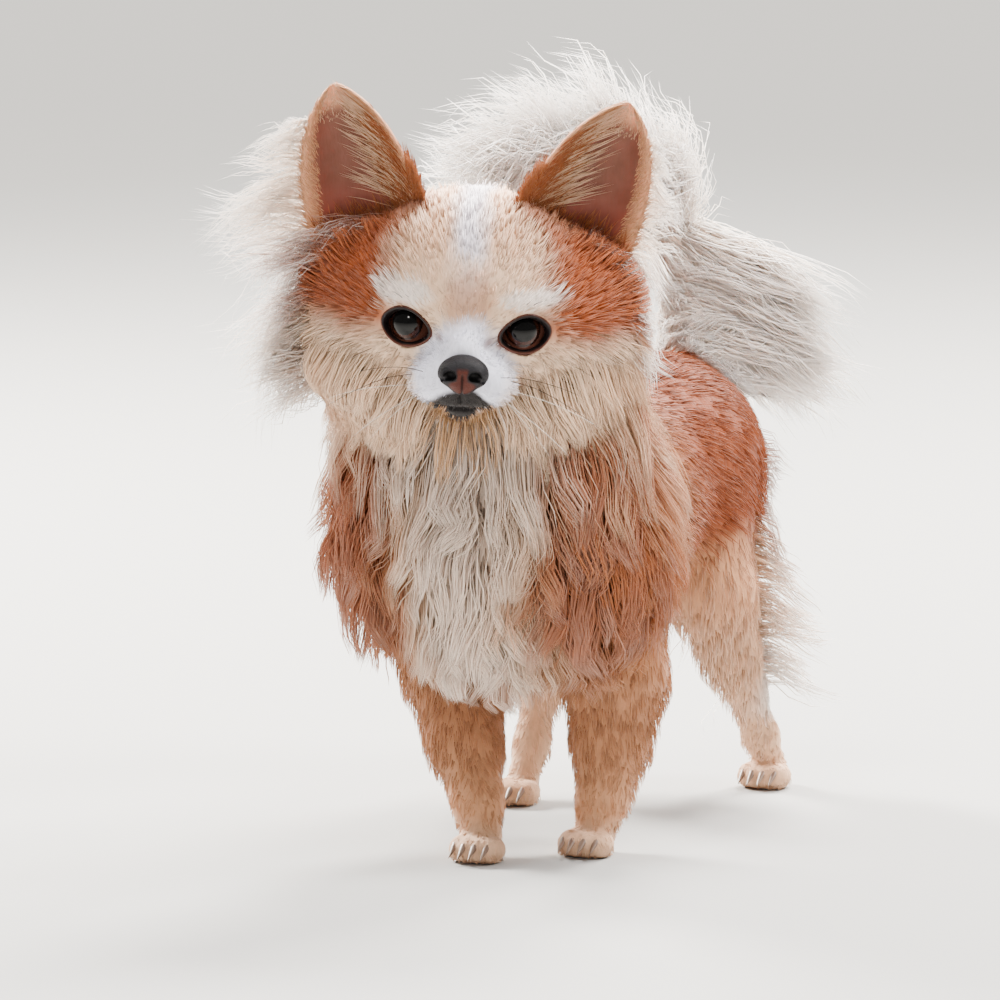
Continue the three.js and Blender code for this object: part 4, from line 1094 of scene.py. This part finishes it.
def hair_mesh(name, paths, out, width, tones, tips, patches, look=None):
    """One joined mesh: a taper along every path, coloured from its root to its tip."""
    count, steps = paths.shape[:2]
    ahead = unit(np.gradient(paths, axis=1))
    side = unit(np.cross(ahead, out[:, None]))
    high = np.cross(side, ahead)
    t = np.linspace(0, 1, steps)[None, :, None]
    half = width[:, None, None] / 2 * (0.75 + 0.5 * t) * (1 - 0.75 * t**1.5)
    rise = high * half * HAIR_THICKNESS
    rings = np.stack([paths - side * half - rise, paths + side * half - rise, paths + rise], 2)
    points = np.concatenate([rings[:, :-1].reshape(count, -1, 3), paths[:, -1:]], 1)
    per_hair = points.shape[1]
    one = []
    for ring in range(steps - 2):
        for k in range(3):
            a, b = 3 * ring + k, 3 * ring + (k + 1) % 3
            one += [(a, b, b + 3), (a, b + 3, a + 3)]
    last = 3 * (steps - 2)
    one += [(last + k, last + (k + 1) % 3, per_hair - 1) for k in range(3)]
    one.append((0, 2, 1))
    faces = (np.array(one)[None] + per_hair * np.arange(count)[:, None, None]).reshape(-1, 3)
    along = np.concatenate([np.repeat(np.linspace(0, 1, steps)[:-1], 3), [1]])
    # Painted shade: each hair is darker towards its root, where the coat around it shades it; less so in the
    # thin, glowing coat.
    darkest = 0.9 if look else 0.62
    shade = np.clip(darkest + 0.6 * along, 0, 1)[None, :, None]
    colours = tones[:, None] * shade
    colours = colours + (tips[:, None] - colours) * (0.9 * along**1.5)[None, :, None]
    sideways = np.concatenate([np.tile([0, 1, 0.5], steps - 1), [0.5]])
    offsets = np.stack([sideways, along], -1) * PATCH
    places = (patches[:, None] + offsets[None]).reshape(-1, 2)[faces.ravel()]
    return mesh_object(name, points.reshape(-1, 3), faces, look or coat_look, colours.reshape(-1, 3), places)


def coat_material(name, glow):
    """Hair; glow is the share of light that passes through it."""
    shader = Shader(name)
    base = shader.coat_colour()
    streaks = shader.noise(420, 3, (1, 1, 0.4))
    shade = shader.times(base, shader.between(streaks, 0.82, 1.14))
    shader.set(Base_Color=shade, Roughness=shader.between(streaks, 0.42, 0.62))
    shader.set(Normal=shader.bump(shader.noise(2600, 2, (1, 1, 0.2)), 0.15, 0.0001))
    shader.set(Specular_IOR_Level=0.2, Sheen_Weight=0.04)
    if glow:
        shader.set(Subsurface_Weight=glow, Subsurface_Scale=0.004, Subsurface_Radius=(1, 0.85, 0.7))
    return shader.material


def unwrapped(p, part):
    """A map of the skin for each part: about the head, along the body, down each leg, along the tail."""
    if part == "head":
        h = unit(to_head(p))
        turn = np.arctan2(h[:, 0], -h[:, 1]) / (2 * math.pi) + 0.5
        return np.stack([turn, np.arcsin(np.clip(h[:, 2], -1, 1)) / math.pi + 0.5], -1) * 0.99
    if part == "body":
        middle = 118 + 0.35 * np.maximum(-50 - p[:, 1], 0)
        turn = np.arctan2(p[:, 0], p[:, 2] - middle) / (2 * math.pi) + 0.5
        along = (p[:, 1] - 0.35 * (p[:, 2] - 118) + 150) / 290
        return np.stack([turn, np.clip(along, 0, 1)], -1) * 0.99
    if part == "legs":
        near = np.argmin([leg_distance(p, leg) for leg in LEGS], axis=0)
        middles = np.array([np.mean([place[:2] for place in LEGS[leg]], axis=0) for leg in LEGS])
        away_from = p[:, :2] - middles[near]
        turn = np.arctan2(away_from[:, 0], away_from[:, 1]) / (2 * math.pi) + 0.5
        return np.stack([(near + 0.98 * turn) / 4, np.clip(p[:, 2] / 140, 0, 1) * 0.99], -1)
    share, axis, out = about_tail(p)
    turn = np.arctan2(out[:, 0], dot(out, np.cross(axis, (1.0, 0, 0)))[:, 0]) / (2 * math.pi) + 0.5
    return np.stack([turn, share], -1) * 0.99


def about_tail(p):
    """Share of the tail's length, its direction towards the tip, and the direction out from it."""
    best = np.full(len(p), 1e9)
    share = np.zeros(len(p))
    axis = np.zeros((len(p), 3))
    out = np.zeros((len(p), 3))
    for k in range(len(TAIL) - 1):
        a, b = np.array(TAIL[k][:3], float), np.array(TAIL[k + 1][:3], float)
        along = b - a
        t = np.clip((p - a) @ along / (along @ along), 0, 1)
        q = p - a - t[:, None] * along
        near = np.linalg.norm(q, axis=-1)
        closer = near < best
        best = np.where(closer, near, best)
        share = np.where(closer, (k + t) / (len(TAIL) - 1), share)
        axis = np.where(closer[:, None], unit(along), axis)
        out = np.where(closer[:, None], unit(q), out)
    return share, axis, out


def coat_piece(
    name, part, roots, lie, length, steps, rise, width, seed, tuft, tip,
    most=None, look=None, stray=0.06,
):
    """Grows, tufts and colours the hairs of one piece.

    tuft is its hairs, pull, wave and cycles; tip is a tone and its share; most is the greatest height.
    """
    draw = np.random.default_rng(seed + 1000)
    varied = length * draw.uniform(0.7, 1.2, len(roots))
    paths, out, layer = grown(roots, lie, varied, steps, rise, seed, most, stray)
    paths, own = tufted(paths, out, *tuft, seed + 1)
    paths[..., 2] = np.maximum(paths[..., 2], 0.4)
    tint = draw.uniform(0.88, 1.1, (len(roots), 1)) * draw.uniform(0.88, 1.08, (len(roots), 1))[own]
    tones = markings(roots) * tint
    tone_tip, tip_share = tip
    spread = draw.uniform(0.4, 1.2, (len(roots), 1))[own]
    tips = tones + (tone_tip - tones) * np.clip(np.asarray(tip_share).reshape(-1, 1) * spread, 0, 1)
    widths = width * (1.85 - 1.16 * layer) * draw.uniform(0.8, 1.15, len(roots))
    set_in_place(hair_mesh(name, paths, out, widths, tones, tips, unwrapped(roots, part), look))


# The lie of each piece: the way of its hair at p, a share t along a hair whose root faces out


def lie_of_head(p, t, out):
    h = to_head(p)
    away_from_nose = unit(h - NOSE_TIP + (0, 0, 4))
    cheek = fade(np.abs(h[:, 0]), 12, 30) * fade(h[:, 2], 6, -12)
    drop = cheek[:, None] * np.array([0, 0.1, -0.7])
    return in_head(away_from_nose + drop) + out * 0.05


def lie_of_temples(p, t, out):
    h = to_head(p)
    side = np.sign(h[:, :1])
    sweep = np.where(side < 0, 1.2, 0.8) - 0.4 * t
    fall = np.where(h[:, 2:] > 6, 0.9 * t - 0.15, 0.35 + 0.7 * t)
    across, back, up = np.eye(3)
    return in_head(side * sweep * across + 0.25 * back - fall * up)


def lie_of_mane(p, t, out):
    width = np.where(p[:, :1] < 0, 0.5, 0.3) * (1.25 - 0.7 * t)
    width = width * (0.2 + 0.8 * fade(p[:, 2:], 92, 122))
    flow = np.array([0, 0.18, -1.0]) + out * np.array([1, 0.5, 1]) * width
    front = fade(p[:, 1], -70, -100)[:, None]
    return flow - front * np.array([0, 0.2, 0])


def lie_of_trunk(p, t, out):
    behind = fade(p[:, 1], 50, 85)[:, None]
    ahead = np.array([0, 0.85, -0.45]) * (1 - behind) + np.array([0, 0.4, -0.9]) * behind
    low = fade(p[:, 2], 110, 85)[:, None]
    return ahead + low * np.array([0, 0, -0.5]) + out * 0.08


def lie_of_legs(p, t, out):
    return np.array([0, 0.12, -1.0]) + out * 0.08


def lie_of_breeches(p, t, out):
    return out * (0.75 - 0.3 * t) + np.array([0, 0.5, -0.25 - 0.55 * t])


PLUME_WAY = unit(np.array([0.6, 0.53, -0.33]))


def lie_of_plume(p, t, out):
    return PLUME_WAY + np.array([0, 0, -0.25 * t]) + out * 0.16 * (1 - t)


def lie_of_crest(p, t, out):
    share, axis, away_from = about_tail(p)
    share = share[:, None]
    middle = axis * 0.9 + out * (1.15 - 0.8 * t) + np.array([-1, -0.2, 0.1]) * 0.7 * t
    tip = axis * 0.8 + out * (0.9 - 0.6 * t) + np.array([-0.9, -0.1, 0.05]) * t
    return middle + (tip - middle) * fade(share, 0.66, 0.8)


def face_weight(p, out):
    h = to_head(p)
    ahead_of_ears = fade(h[:, 1], 16, 4)
    lids = [almond_share(from_eye(h, side)) for side in (-1, 1)]
    clear = fade(np.minimum(*lids), 1.23, 1.3)
    nose = fade(nose_distance(h), 0.2, 1.0)
    mouth = np.abs(h[:, 2] - mouth_line(h[:, 0]))
    return ahead_of_ears * clear * nose * (0.4 + 0.6 * fade(mouth, 0.4, 1.2))


coat_look = coat_material("coat", 0)
thin_look = coat_material("thin_coat", 0.7)

face = skin_roots(["head"], 14000, face_weight, 11)
face_h = to_head(face)
near_nose = fade(np.linalg.norm(face_h - NOSE_TIP, axis=-1), 8, 48)
face_side = fade(np.abs(face_h[:, 0]), 24, 40) * fade(face_h[:, 2], 16, -8)
face_length = 2.4 + 3.6 * near_nose + 7 * face_side
pale = fade(markings(face).mean(1), 0.05, 0.3)
coat_piece(
    "coat_face", "head", face, lie_of_head, length=face_length, steps=2,
    rise=0.45 + 0.9 * near_nose + 1.5 * face_side, width=0.32 + 0.14 * near_nose, seed=21,
    tuft=(9, 0.45, 0.12, 0.5), tip=(WHITE, 0.12 * pale), most=3.4,
)


def behind_weight(p, out):
    h = to_head(p)
    return fade(h[:, 1], -10, 4) * (0.25 + fade(h[:, 2], 46, 20) * (0.4 + fade(np.abs(h[:, 0]), 14, 30)))


cheek = skin_roots(["head"], 4000, behind_weight, 12)
cheek_h = to_head(cheek)
outward = fade(np.abs(cheek_h[:, 0]), 16, 36)
cheek_length = 7 + 14 * outward * fade(cheek_h[:, 2], 30, 5)
coat_piece(
    "coat_head", "head", cheek, lie_of_head, length=cheek_length, steps=3,
    rise=1 + 5 * outward, width=0.6, seed=22, tuft=(12, 0.65, 0.9, 0.8), tip=(CREAM, 0.16), most=9.0,
)


def stream_weight(p, out):
    h = to_head(p)
    wide = fade(np.abs(h[:, 0]), 24, 34) * np.where(h[:, 0] < 0, 1.5, 0.8)
    return fade(h[:, 1], 0, 9) * fade(h[:, 1], 36, 26) * wide * fade(h[:, 2], -34, -24)


stream = skin_roots(["head"], 3600, stream_weight, 13)
stream_length = np.where(to_head(stream)[:, 0] < 0, 46, 26)
stream_length = stream_length * np.random.default_rng(130).uniform(0.4, 1.1, len(stream))
coat_piece(
    "coat_stream", "head", stream, lie_of_temples, length=stream_length, steps=5,
    rise=9.0, width=0.42, seed=23, tuft=(13, 0.66, 5.0, 1.5), tip=(WHITE, 1.3), look=thin_look, stray=0.2,
)


def jowl_weight(p, out):
    h = to_head(p)
    behind_mouth = fade(h[:, 1], -30, -20) * fade(h[:, 1], 26, 14)
    return behind_mouth * fade(h[:, 2], -9, -17) * (0.35 + fade(np.abs(h[:, 0]), 8, 22))


def lie_of_jowl(p, t, out):
    h = to_head(p)
    side = np.sign(h[:, :1]) * fade(np.abs(h[:, :1]), 4, 20)
    return in_head(side * np.array([0.55 - 0.3 * t, 0, 0]) + np.array([0, 0.25, -1.0])) + out * 0.18 * (1 - t)


jowl = skin_roots(["head"], 3700, jowl_weight, 33)
coat_piece(
    "coat_jowl", "head", jowl, lie_of_jowl, length=25.0, steps=5,
    rise=7.0, width=0.5, seed=34, tuft=(20, 0.75, 1.8, 1.0), tip=(CREAM, 0.35), most=11.0,
)


def mane_shape(roots, short, full):
    """Lengths and rises of the mane's hairs, from the height where they are short to full."""
    high = fade(roots[:, 2], short, full)
    return 12 + 26 * high, 3.5 + 11.5 * high


def highest_mane(p):
    return 6.5 + 11.5 * fade(p[:, 2], 84, 128)


def frill_weight(p, out):
    return fade(p[:, 1], -60, -84) * fade(p[:, 2], 42, 58)


frill = skin_roots(["neck", "trunk"], 5600, frill_weight, 14)
frill_length, frill_rise = mane_shape(frill, 60, 122)
coat_piece(
    "coat_frill", "body", frill, lie_of_mane, length=frill_length, steps=5,
    rise=frill_rise, width=0.62, seed=24, tuft=(36, 0.88, 3.8, 1.15), tip=(WHITE, 0.2), most=16.0,
)


def mane_weight(p, out):
    return fade(p[:, 1], -98, -76) * fade(p[:, 1], -14, -36) * fade(p[:, 2], 56, 74)


mane = skin_roots(["neck", "trunk"], 5800, mane_weight, 15)
mane_length, mane_rise = mane_shape(mane, 84, 142)
backlit = 0.12 + 0.6 * fade(mane[:, 2], 125, 165)
coat_piece(
    "coat_mane", "body", mane, lie_of_mane, length=mane_length, steps=5,
    rise=mane_rise, width=0.64, seed=25, tuft=(30, 0.84, 3.4, 1.1), tip=(CREAM, backlit), most=highest_mane,
)

trunk = skin_roots(["trunk"], 7600, lambda p, out: fade(p[:, 1], -56, -36), 16)
coat_piece(
    "coat_trunk", "body", trunk, lie_of_trunk, length=13.0, steps=3,
    rise=2.4, width=0.6, seed=26, tuft=(8, 0.22, 0.4, 0.7), tip=(TAN, 0.1), most=4.0,
)

FORE_LEGS, HIND_LEGS = list(LEGS)[:2], list(LEGS)[2:]
fore_legs = skin_roots(FORE_LEGS, 6000, lambda p, out: 0.5 + 0.5 * fade(p[:, 2], 80, 50), 17)
fore_behind = fade(over_skin(fore_legs)[1][:, 1], 0.2, 0.8) * fade(fore_legs[:, 2], 12, 40)
fore_length = 2.6 + 5 * fade(fore_legs[:, 2], 6, 50) + 7 * fore_behind
coat_piece(
    "coat_forelegs", "legs", fore_legs, lie_of_legs, length=fore_length, steps=3,
    rise=0.5 + 1.2 * fade(fore_legs[:, 2], 6, 50), width=0.44, seed=27,
    tuft=(9, 0.45, 0.4, 0.8), tip=(TAN, 0.12), most=3.4,
)

hind_legs = skin_roots(HIND_LEGS, 5000, lambda p, out: 0.5 + 0.5 * fade(p[:, 2], 110, 60), 18)
hind_length = 2.6 + 7 * fade(hind_legs[:, 2], 6, 60)
coat_piece(
    "coat_hindlegs", "legs", hind_legs, lie_of_legs, length=hind_length, steps=3,
    rise=0.5 + 1.4 * fade(hind_legs[:, 2], 6, 50), width=0.44, seed=28,
    tuft=(9, 0.45, 0.4, 0.8), tip=(WHITE, 0.2), most=3.8,
)


def breeches_weight(p, out):
    return fade(p[:, 1], 40, 60) * fade(out[:, 1], 0.1, 0.6) * fade(p[:, 2], 38, 48) * fade(p[:, 2], 150, 110)


breeches = skin_roots(HIND_LEGS + ["trunk"], 3500, breeches_weight, 19)
low = fade(breeches[:, 2], 120, 80)
coat_piece(
    "coat_breeches", "body", breeches, lie_of_breeches, length=14 + 22 * low, steps=4,
    rise=4 + 9 * low, width=0.6, seed=29, tuft=(16, 0.72, 3.4, 1.2), tip=(WHITE, 1.1), look=thin_look,
    stray=0.15,
)

crest = skin_roots(["tail"], 4100, lambda p, out: fade(about_tail(p)[0], 0.34, 0.42), 20)
crest_length = 42 * np.random.default_rng(300).uniform(0.5, 1.1, len(crest))
coat_piece(
    "coat_crest", "tail", crest, lie_of_crest, length=crest_length, steps=5,
    rise=12.0, width=0.62, seed=30, tuft=(18, 0.7, 5.0, 1.5), tip=(WHITE, 1.2), look=thin_look, stray=0.3,
)

plume = skin_roots(["tail"], 4100, lambda p, out: fade(about_tail(p)[0], 0.44, 0.36), 31)
plume_share = about_tail(plume)[0]
facing = dot(over_skin(plume)[1], PLUME_WAY)[:, 0]
plume_length = 20 + 58 * fade(plume_share, 0.06, 0.18) * fade(facing, -0.7, 0.0)
plume_length *= np.random.default_rng(320).uniform(0.5, 1.05, len(plume))
coat_piece(
    "coat_plume", "tail", plume, lie_of_plume, length=plume_length, steps=5,
    rise=5.0, width=0.66, seed=32, tuft=(22, 0.72, 5.0, 1.6), tip=(WHITE, 1.3), look=thin_look,
)


# Hair of the ears, laid along their two faces, and the fringe of their outer rims


def ear_paths(ear, across, along, front, step_across, step_along, lift, steps):
    sign = -1.0 if front else 1.0
    t = np.linspace(0, 1, steps + 1)
    parts = []
    for k in t:
        bow = 0.6 + lift * k
        parts.append(ear_point(ear, across + step_across * k, along + step_along * k, sign * bow))
    out = ear_point(ear, across, along, sign * np.full(len(across), 1.5)) - parts[0]
    return np.stack(parts, 1), unit(out)


def ear_map(ear, across, along, front):
    tile = (ear["side"] > 0) * 2 + (not front)
    return np.stack([(tile + 0.5 + 0.46 * across) / 4, np.clip(0.02 + along * 0.95, 0, 0.99)], -1)


EAR_SHORT = [  # hairs, across, along, front, steps across and along, lift, two colours
    (1300, (-1, 1), (-0.02, 0.94), False, (-0.04, 0.04), (0.05, 0.08), 1.0, TAN, PALE_TAN),
    (900, (0.7, 1.0), (0.0, 0.94), True, (0.02, 0.14), (0.04, 0.08), 0.8, PALE_TAN, PALE_TAN),
    (900, (-1.0, -0.4), (0.0, 0.92), True, (-0.05, 0.16), (0.05, 0.10), 1.0, TAN, PALE_TAN),
    (450, (-0.4, 0.75), (0.72, 0.93), True, (-0.05, 0.05), (0.03, 0.05), 0.5, PALE_TAN, CREAM),
]
EAR_LONG = [
    (210, (-1.0, -0.55), (0.05, 0.75), True, (0.45, 1.05), (0.16, 0.34), 2.6, PALE_TAN, CREAM),
    (400, (-1.0, -0.5), (0.0, 0.6), True, (0.1, 0.45), (0.12, 0.26), 2.0, ORANGE, TAN),
    (380, (-1.08, -0.8), (-0.02, 0.34), True, (-0.34, -0.1), (0.10, 0.2), 1.6, ORANGE, TAN),
    (210, (-1.05, -0.7), (-0.02, 0.4), False, (-0.34, -0.1), (0.1, 0.2), 1.6, ORANGE, TAN),
    (380, (-0.8, 0.9), (-0.09, 0.08), True, (-0.12, 0.15), (0.07, 0.18), 2.6, ORANGE, TAN),
]


def ear_coat(name, kinds, steps, width, seed):
    draw = np.random.default_rng(seed)
    gathered = []
    for ear in EARS.values():
        for count, across, along, front, by_across, by_along, lift, tone, tip in kinds:
            s = draw.uniform(*across, count)
            h = draw.uniform(*along, count)
            steps_taken = draw.uniform(*by_across, count), draw.uniform(*by_along, count)
            rise = lift * draw.uniform(0.3, 1.3, count)
            paths, out = ear_paths(ear, s, h, front, *steps_taken, rise, steps)
            tint = draw.uniform(0.85, 1.1, (count, 1))
            mixed = tone + (tip - tone) * draw.uniform(0, 0.6, (count, 1))
            gathered.append((paths, out, mixed * tint, tip * tint, ear_map(ear, s, h, front)))
    paths, out, tones, tips, places = (np.concatenate(parts) for parts in zip(*gathered))
    widths = width * draw.uniform(0.7, 1.2, len(paths))
    set_in_place(hair_mesh(name, paths, out, widths, tones, tips, places))


ear_coat("coat_ears", EAR_SHORT, 2, 0.42, 41)
ear_coat("coat_ears_inner", EAR_LONG, 4, 0.38, 42)

FRINGE_HAIRS = {"right": 640, "left": 420}
FRINGE_LENGTH = {"right": 35, "left": 16}


def fringe(seed):
    """Thin hair that streams sideways from the outer rims of the ears."""
    draw = np.random.default_rng(seed)
    gathered = []
    steps = 5
    t = np.linspace(0, 1, steps + 1)[None, :, None]
    for name, ear in EARS.items():
        count = FRINGE_HAIRS[name]
        along = draw.uniform(-0.08, 0.8, count)
        across = draw.uniform(0.82, 1.0, count)
        start = ear_point(ear, across, along, np.full(count, 0.6))
        lock = (along * 9).astype(int)
        waves = draw.uniform(0, 2 * math.pi, 12)[lock][:, None, None]
        length = FRINGE_LENGTH[name] * (1.15 - 0.7 * fade(along, 0.2, 0.8)) * draw.uniform(0.4, 1.2, count)
        ahead = np.array([ear["side"], 0.3, 0.18]) + draw.normal(0, 0.14, (count, 3))
        way = in_head(unit(ahead))[:, None]
        droop = draw.uniform(0.1, 0.8, count)[lock][:, None, None]
        wave = np.sin(2 * math.pi * 1.4 * t + waves) * 2.6 * t
        run = length[:, None, None]
        paths = start[:, None] + way * run * t + np.array([0, 0, -1.0]) * (droop * run * t**2 - wave)
        out = np.broadcast_to(in_head((0, -0.6, 0.8)), (count, 3))
        tone = CREAM * draw.uniform(0.85, 1.05, (count, 1))
        tip = np.broadcast_to(WHITE, (count, 3))
        gathered.append((paths, out, tone, tip, ear_map(ear, across, along, False)))
    paths, out, tones, tips, places = (np.concatenate(parts) for parts in zip(*gathered))
    widths = 0.4 * draw.uniform(0.6, 1.2, len(paths))
    set_in_place(hair_mesh("coat_ear_fringe", paths, out, widths, tones, tips, places, thin_look))


fringe(43)

WHISKER_STEPS = 8
WHISKER_ROOTS = [  # place on the head, way, length, dark
    ((12.5, -38, -21), (1.0, 0.1, -0.35), 30, 1),
    ((12.0, -39, -24), (1.0, 0.0, -0.5), 27, 0),
    ((13.0, -36, -23), (1.0, 0.2, -0.1), 32, 0),
    ((11.0, -40, -20), (1.0, 0.0, 0.05), 28, 1),
    ((13.5, -35, -26), (1.0, 0.2, -0.75), 24, 0),
    ((30.0, -22, -14), (1.0, 0.2, -0.3), 17, 1),
    ((31.0, -20, -18), (1.0, 0.3, -0.5), 15, 1),
    ((15.0, -30, 8), (0.35, -0.5, 0.8), 9, 1),
    ((19.0, -29, 9), (0.6, -0.5, 0.7), 10, 1),
    ((23.0, -27, 8), (0.8, -0.4, 0.6), 8, 1),
]


def whiskers(seed):
    draw = np.random.default_rng(seed)
    t = np.linspace(0, 1, WHISKER_STEPS + 1)[:, None]
    paths, tones, places = [], [], []
    for side in (-1, 1):
        for place, way, length, dark in WHISKER_ROOTS:
            start = from_head(mirrored(place, side))
            height, out = over_skin(start)
            start = start - out * (height + 0.5)
            ahead = in_head(mirrored(unit(np.array(way) + draw.normal(0, 0.08, 3)), side))
            run = length * draw.uniform(0.85, 1.15)
            lifted = out * 2.2 * np.minimum(t * 4, 1)
            paths.append(start + lifted + ahead * run * t + np.array([0, 0.1, -1.0]) * run * 0.22 * t**2)
            tones.append(rgb(40, 30, 28) if dark else rgb(236, 220, 206))
            places.append(unwrapped(start[None], "head")[0])
    paths, tones, places = np.stack(paths), np.stack(tones), np.stack(places)
    out = np.broadcast_to(in_head((0, -1.0, 0.2)), (len(paths), 3))
    piece = hair_mesh("whiskers", paths, out, np.full(len(paths), 0.3), tones, tones, places)
    set_in_place(piece)


whiskers(44)

# Lights and floor
SUN_WAY = (-0.2, -0.8, -0.95)  # across, away from the camera, up
SUN_STRENGTH = 11
SUN_SPREAD = math.radians(18)
WARM = (1, 0.95, 0.88)
WORLD_TINT = (1, 0.97, 0.94, 1)
WORLD_STRENGTH = 0.3
FLOOR_TONE = (0.42, 0.42, 0.415, 1)
FLOOR_HALF = 30.0  # metres


def pointed(way):
    return Vector(way).to_track_quat("-Z", "Y").to_matrix().to_4x4()


def area_light(name, at, size, power, tint=(1, 1, 1), aim=(0, 0, 120)):
    """A square light at a place seen from the camera: across, towards the camera, up, in mm."""
    light = bpy.data.lights.new(name, "AREA")
    light.size = size * MM
    light.energy = power
    light.color = tint
    place = right * at[0] - away * at[1] + np.array([0, 0, at[2]])
    lamp = linked(name, light)
    lamp.matrix_world = Matrix.Translation(Vector(place * MM)) @ pointed(np.array(aim) - place)


area_light("key", (-700, 2300, 1500), 320, 16, (1, 0.95, 0.9))
area_light("top", (-150, 350, 1500), 450, 21, (1, 0.96, 0.92))
area_light("rim_left", (-1100, -1100, 1100), 500, 190, WARM)
area_light("rim_right", (1100, -1200, 1200), 500, 130, WARM)
area_light("tail", (700, 150, 1100), 300, 24, (1, 0.97, 0.94), (45, 120, 215))

sun_light = bpy.data.lights.new("sun", "SUN")
sun_light.energy = SUN_STRENGTH
sun_light.angle = SUN_SPREAD
sun_light.color = WARM
sun_way = right * SUN_WAY[0] + away * SUN_WAY[1] + np.array([0, 0, SUN_WAY[2]])
linked("sun", sun_light).matrix_world = pointed(sun_way)

world = bpy.data.worlds.new("studio")
world.use_nodes = True
background = world.node_tree.nodes["Background"]
background.inputs["Color"].default_value = WORLD_TINT
background.inputs["Strength"].default_value = WORLD_STRENGTH
bpy.context.scene.world = world


def floor_piece():
    shader = Shader("floor")
    shader.set(Base_Color=FLOOR_TONE, Roughness=0.9, Specular_IOR_Level=0.1)
    mesh = bpy.data.meshes.new("floor")
    signs = ((-1, -1), (1, -1), (1, 1), (-1, 1))
    mesh.from_pydata([(x * FLOOR_HALF, y * FLOOR_HALF, 0) for x, y in signs], [], [(0, 1, 2, 3)])
    mesh.materials.append(shader.material)
    return linked("floor", mesh)


floor_piece()
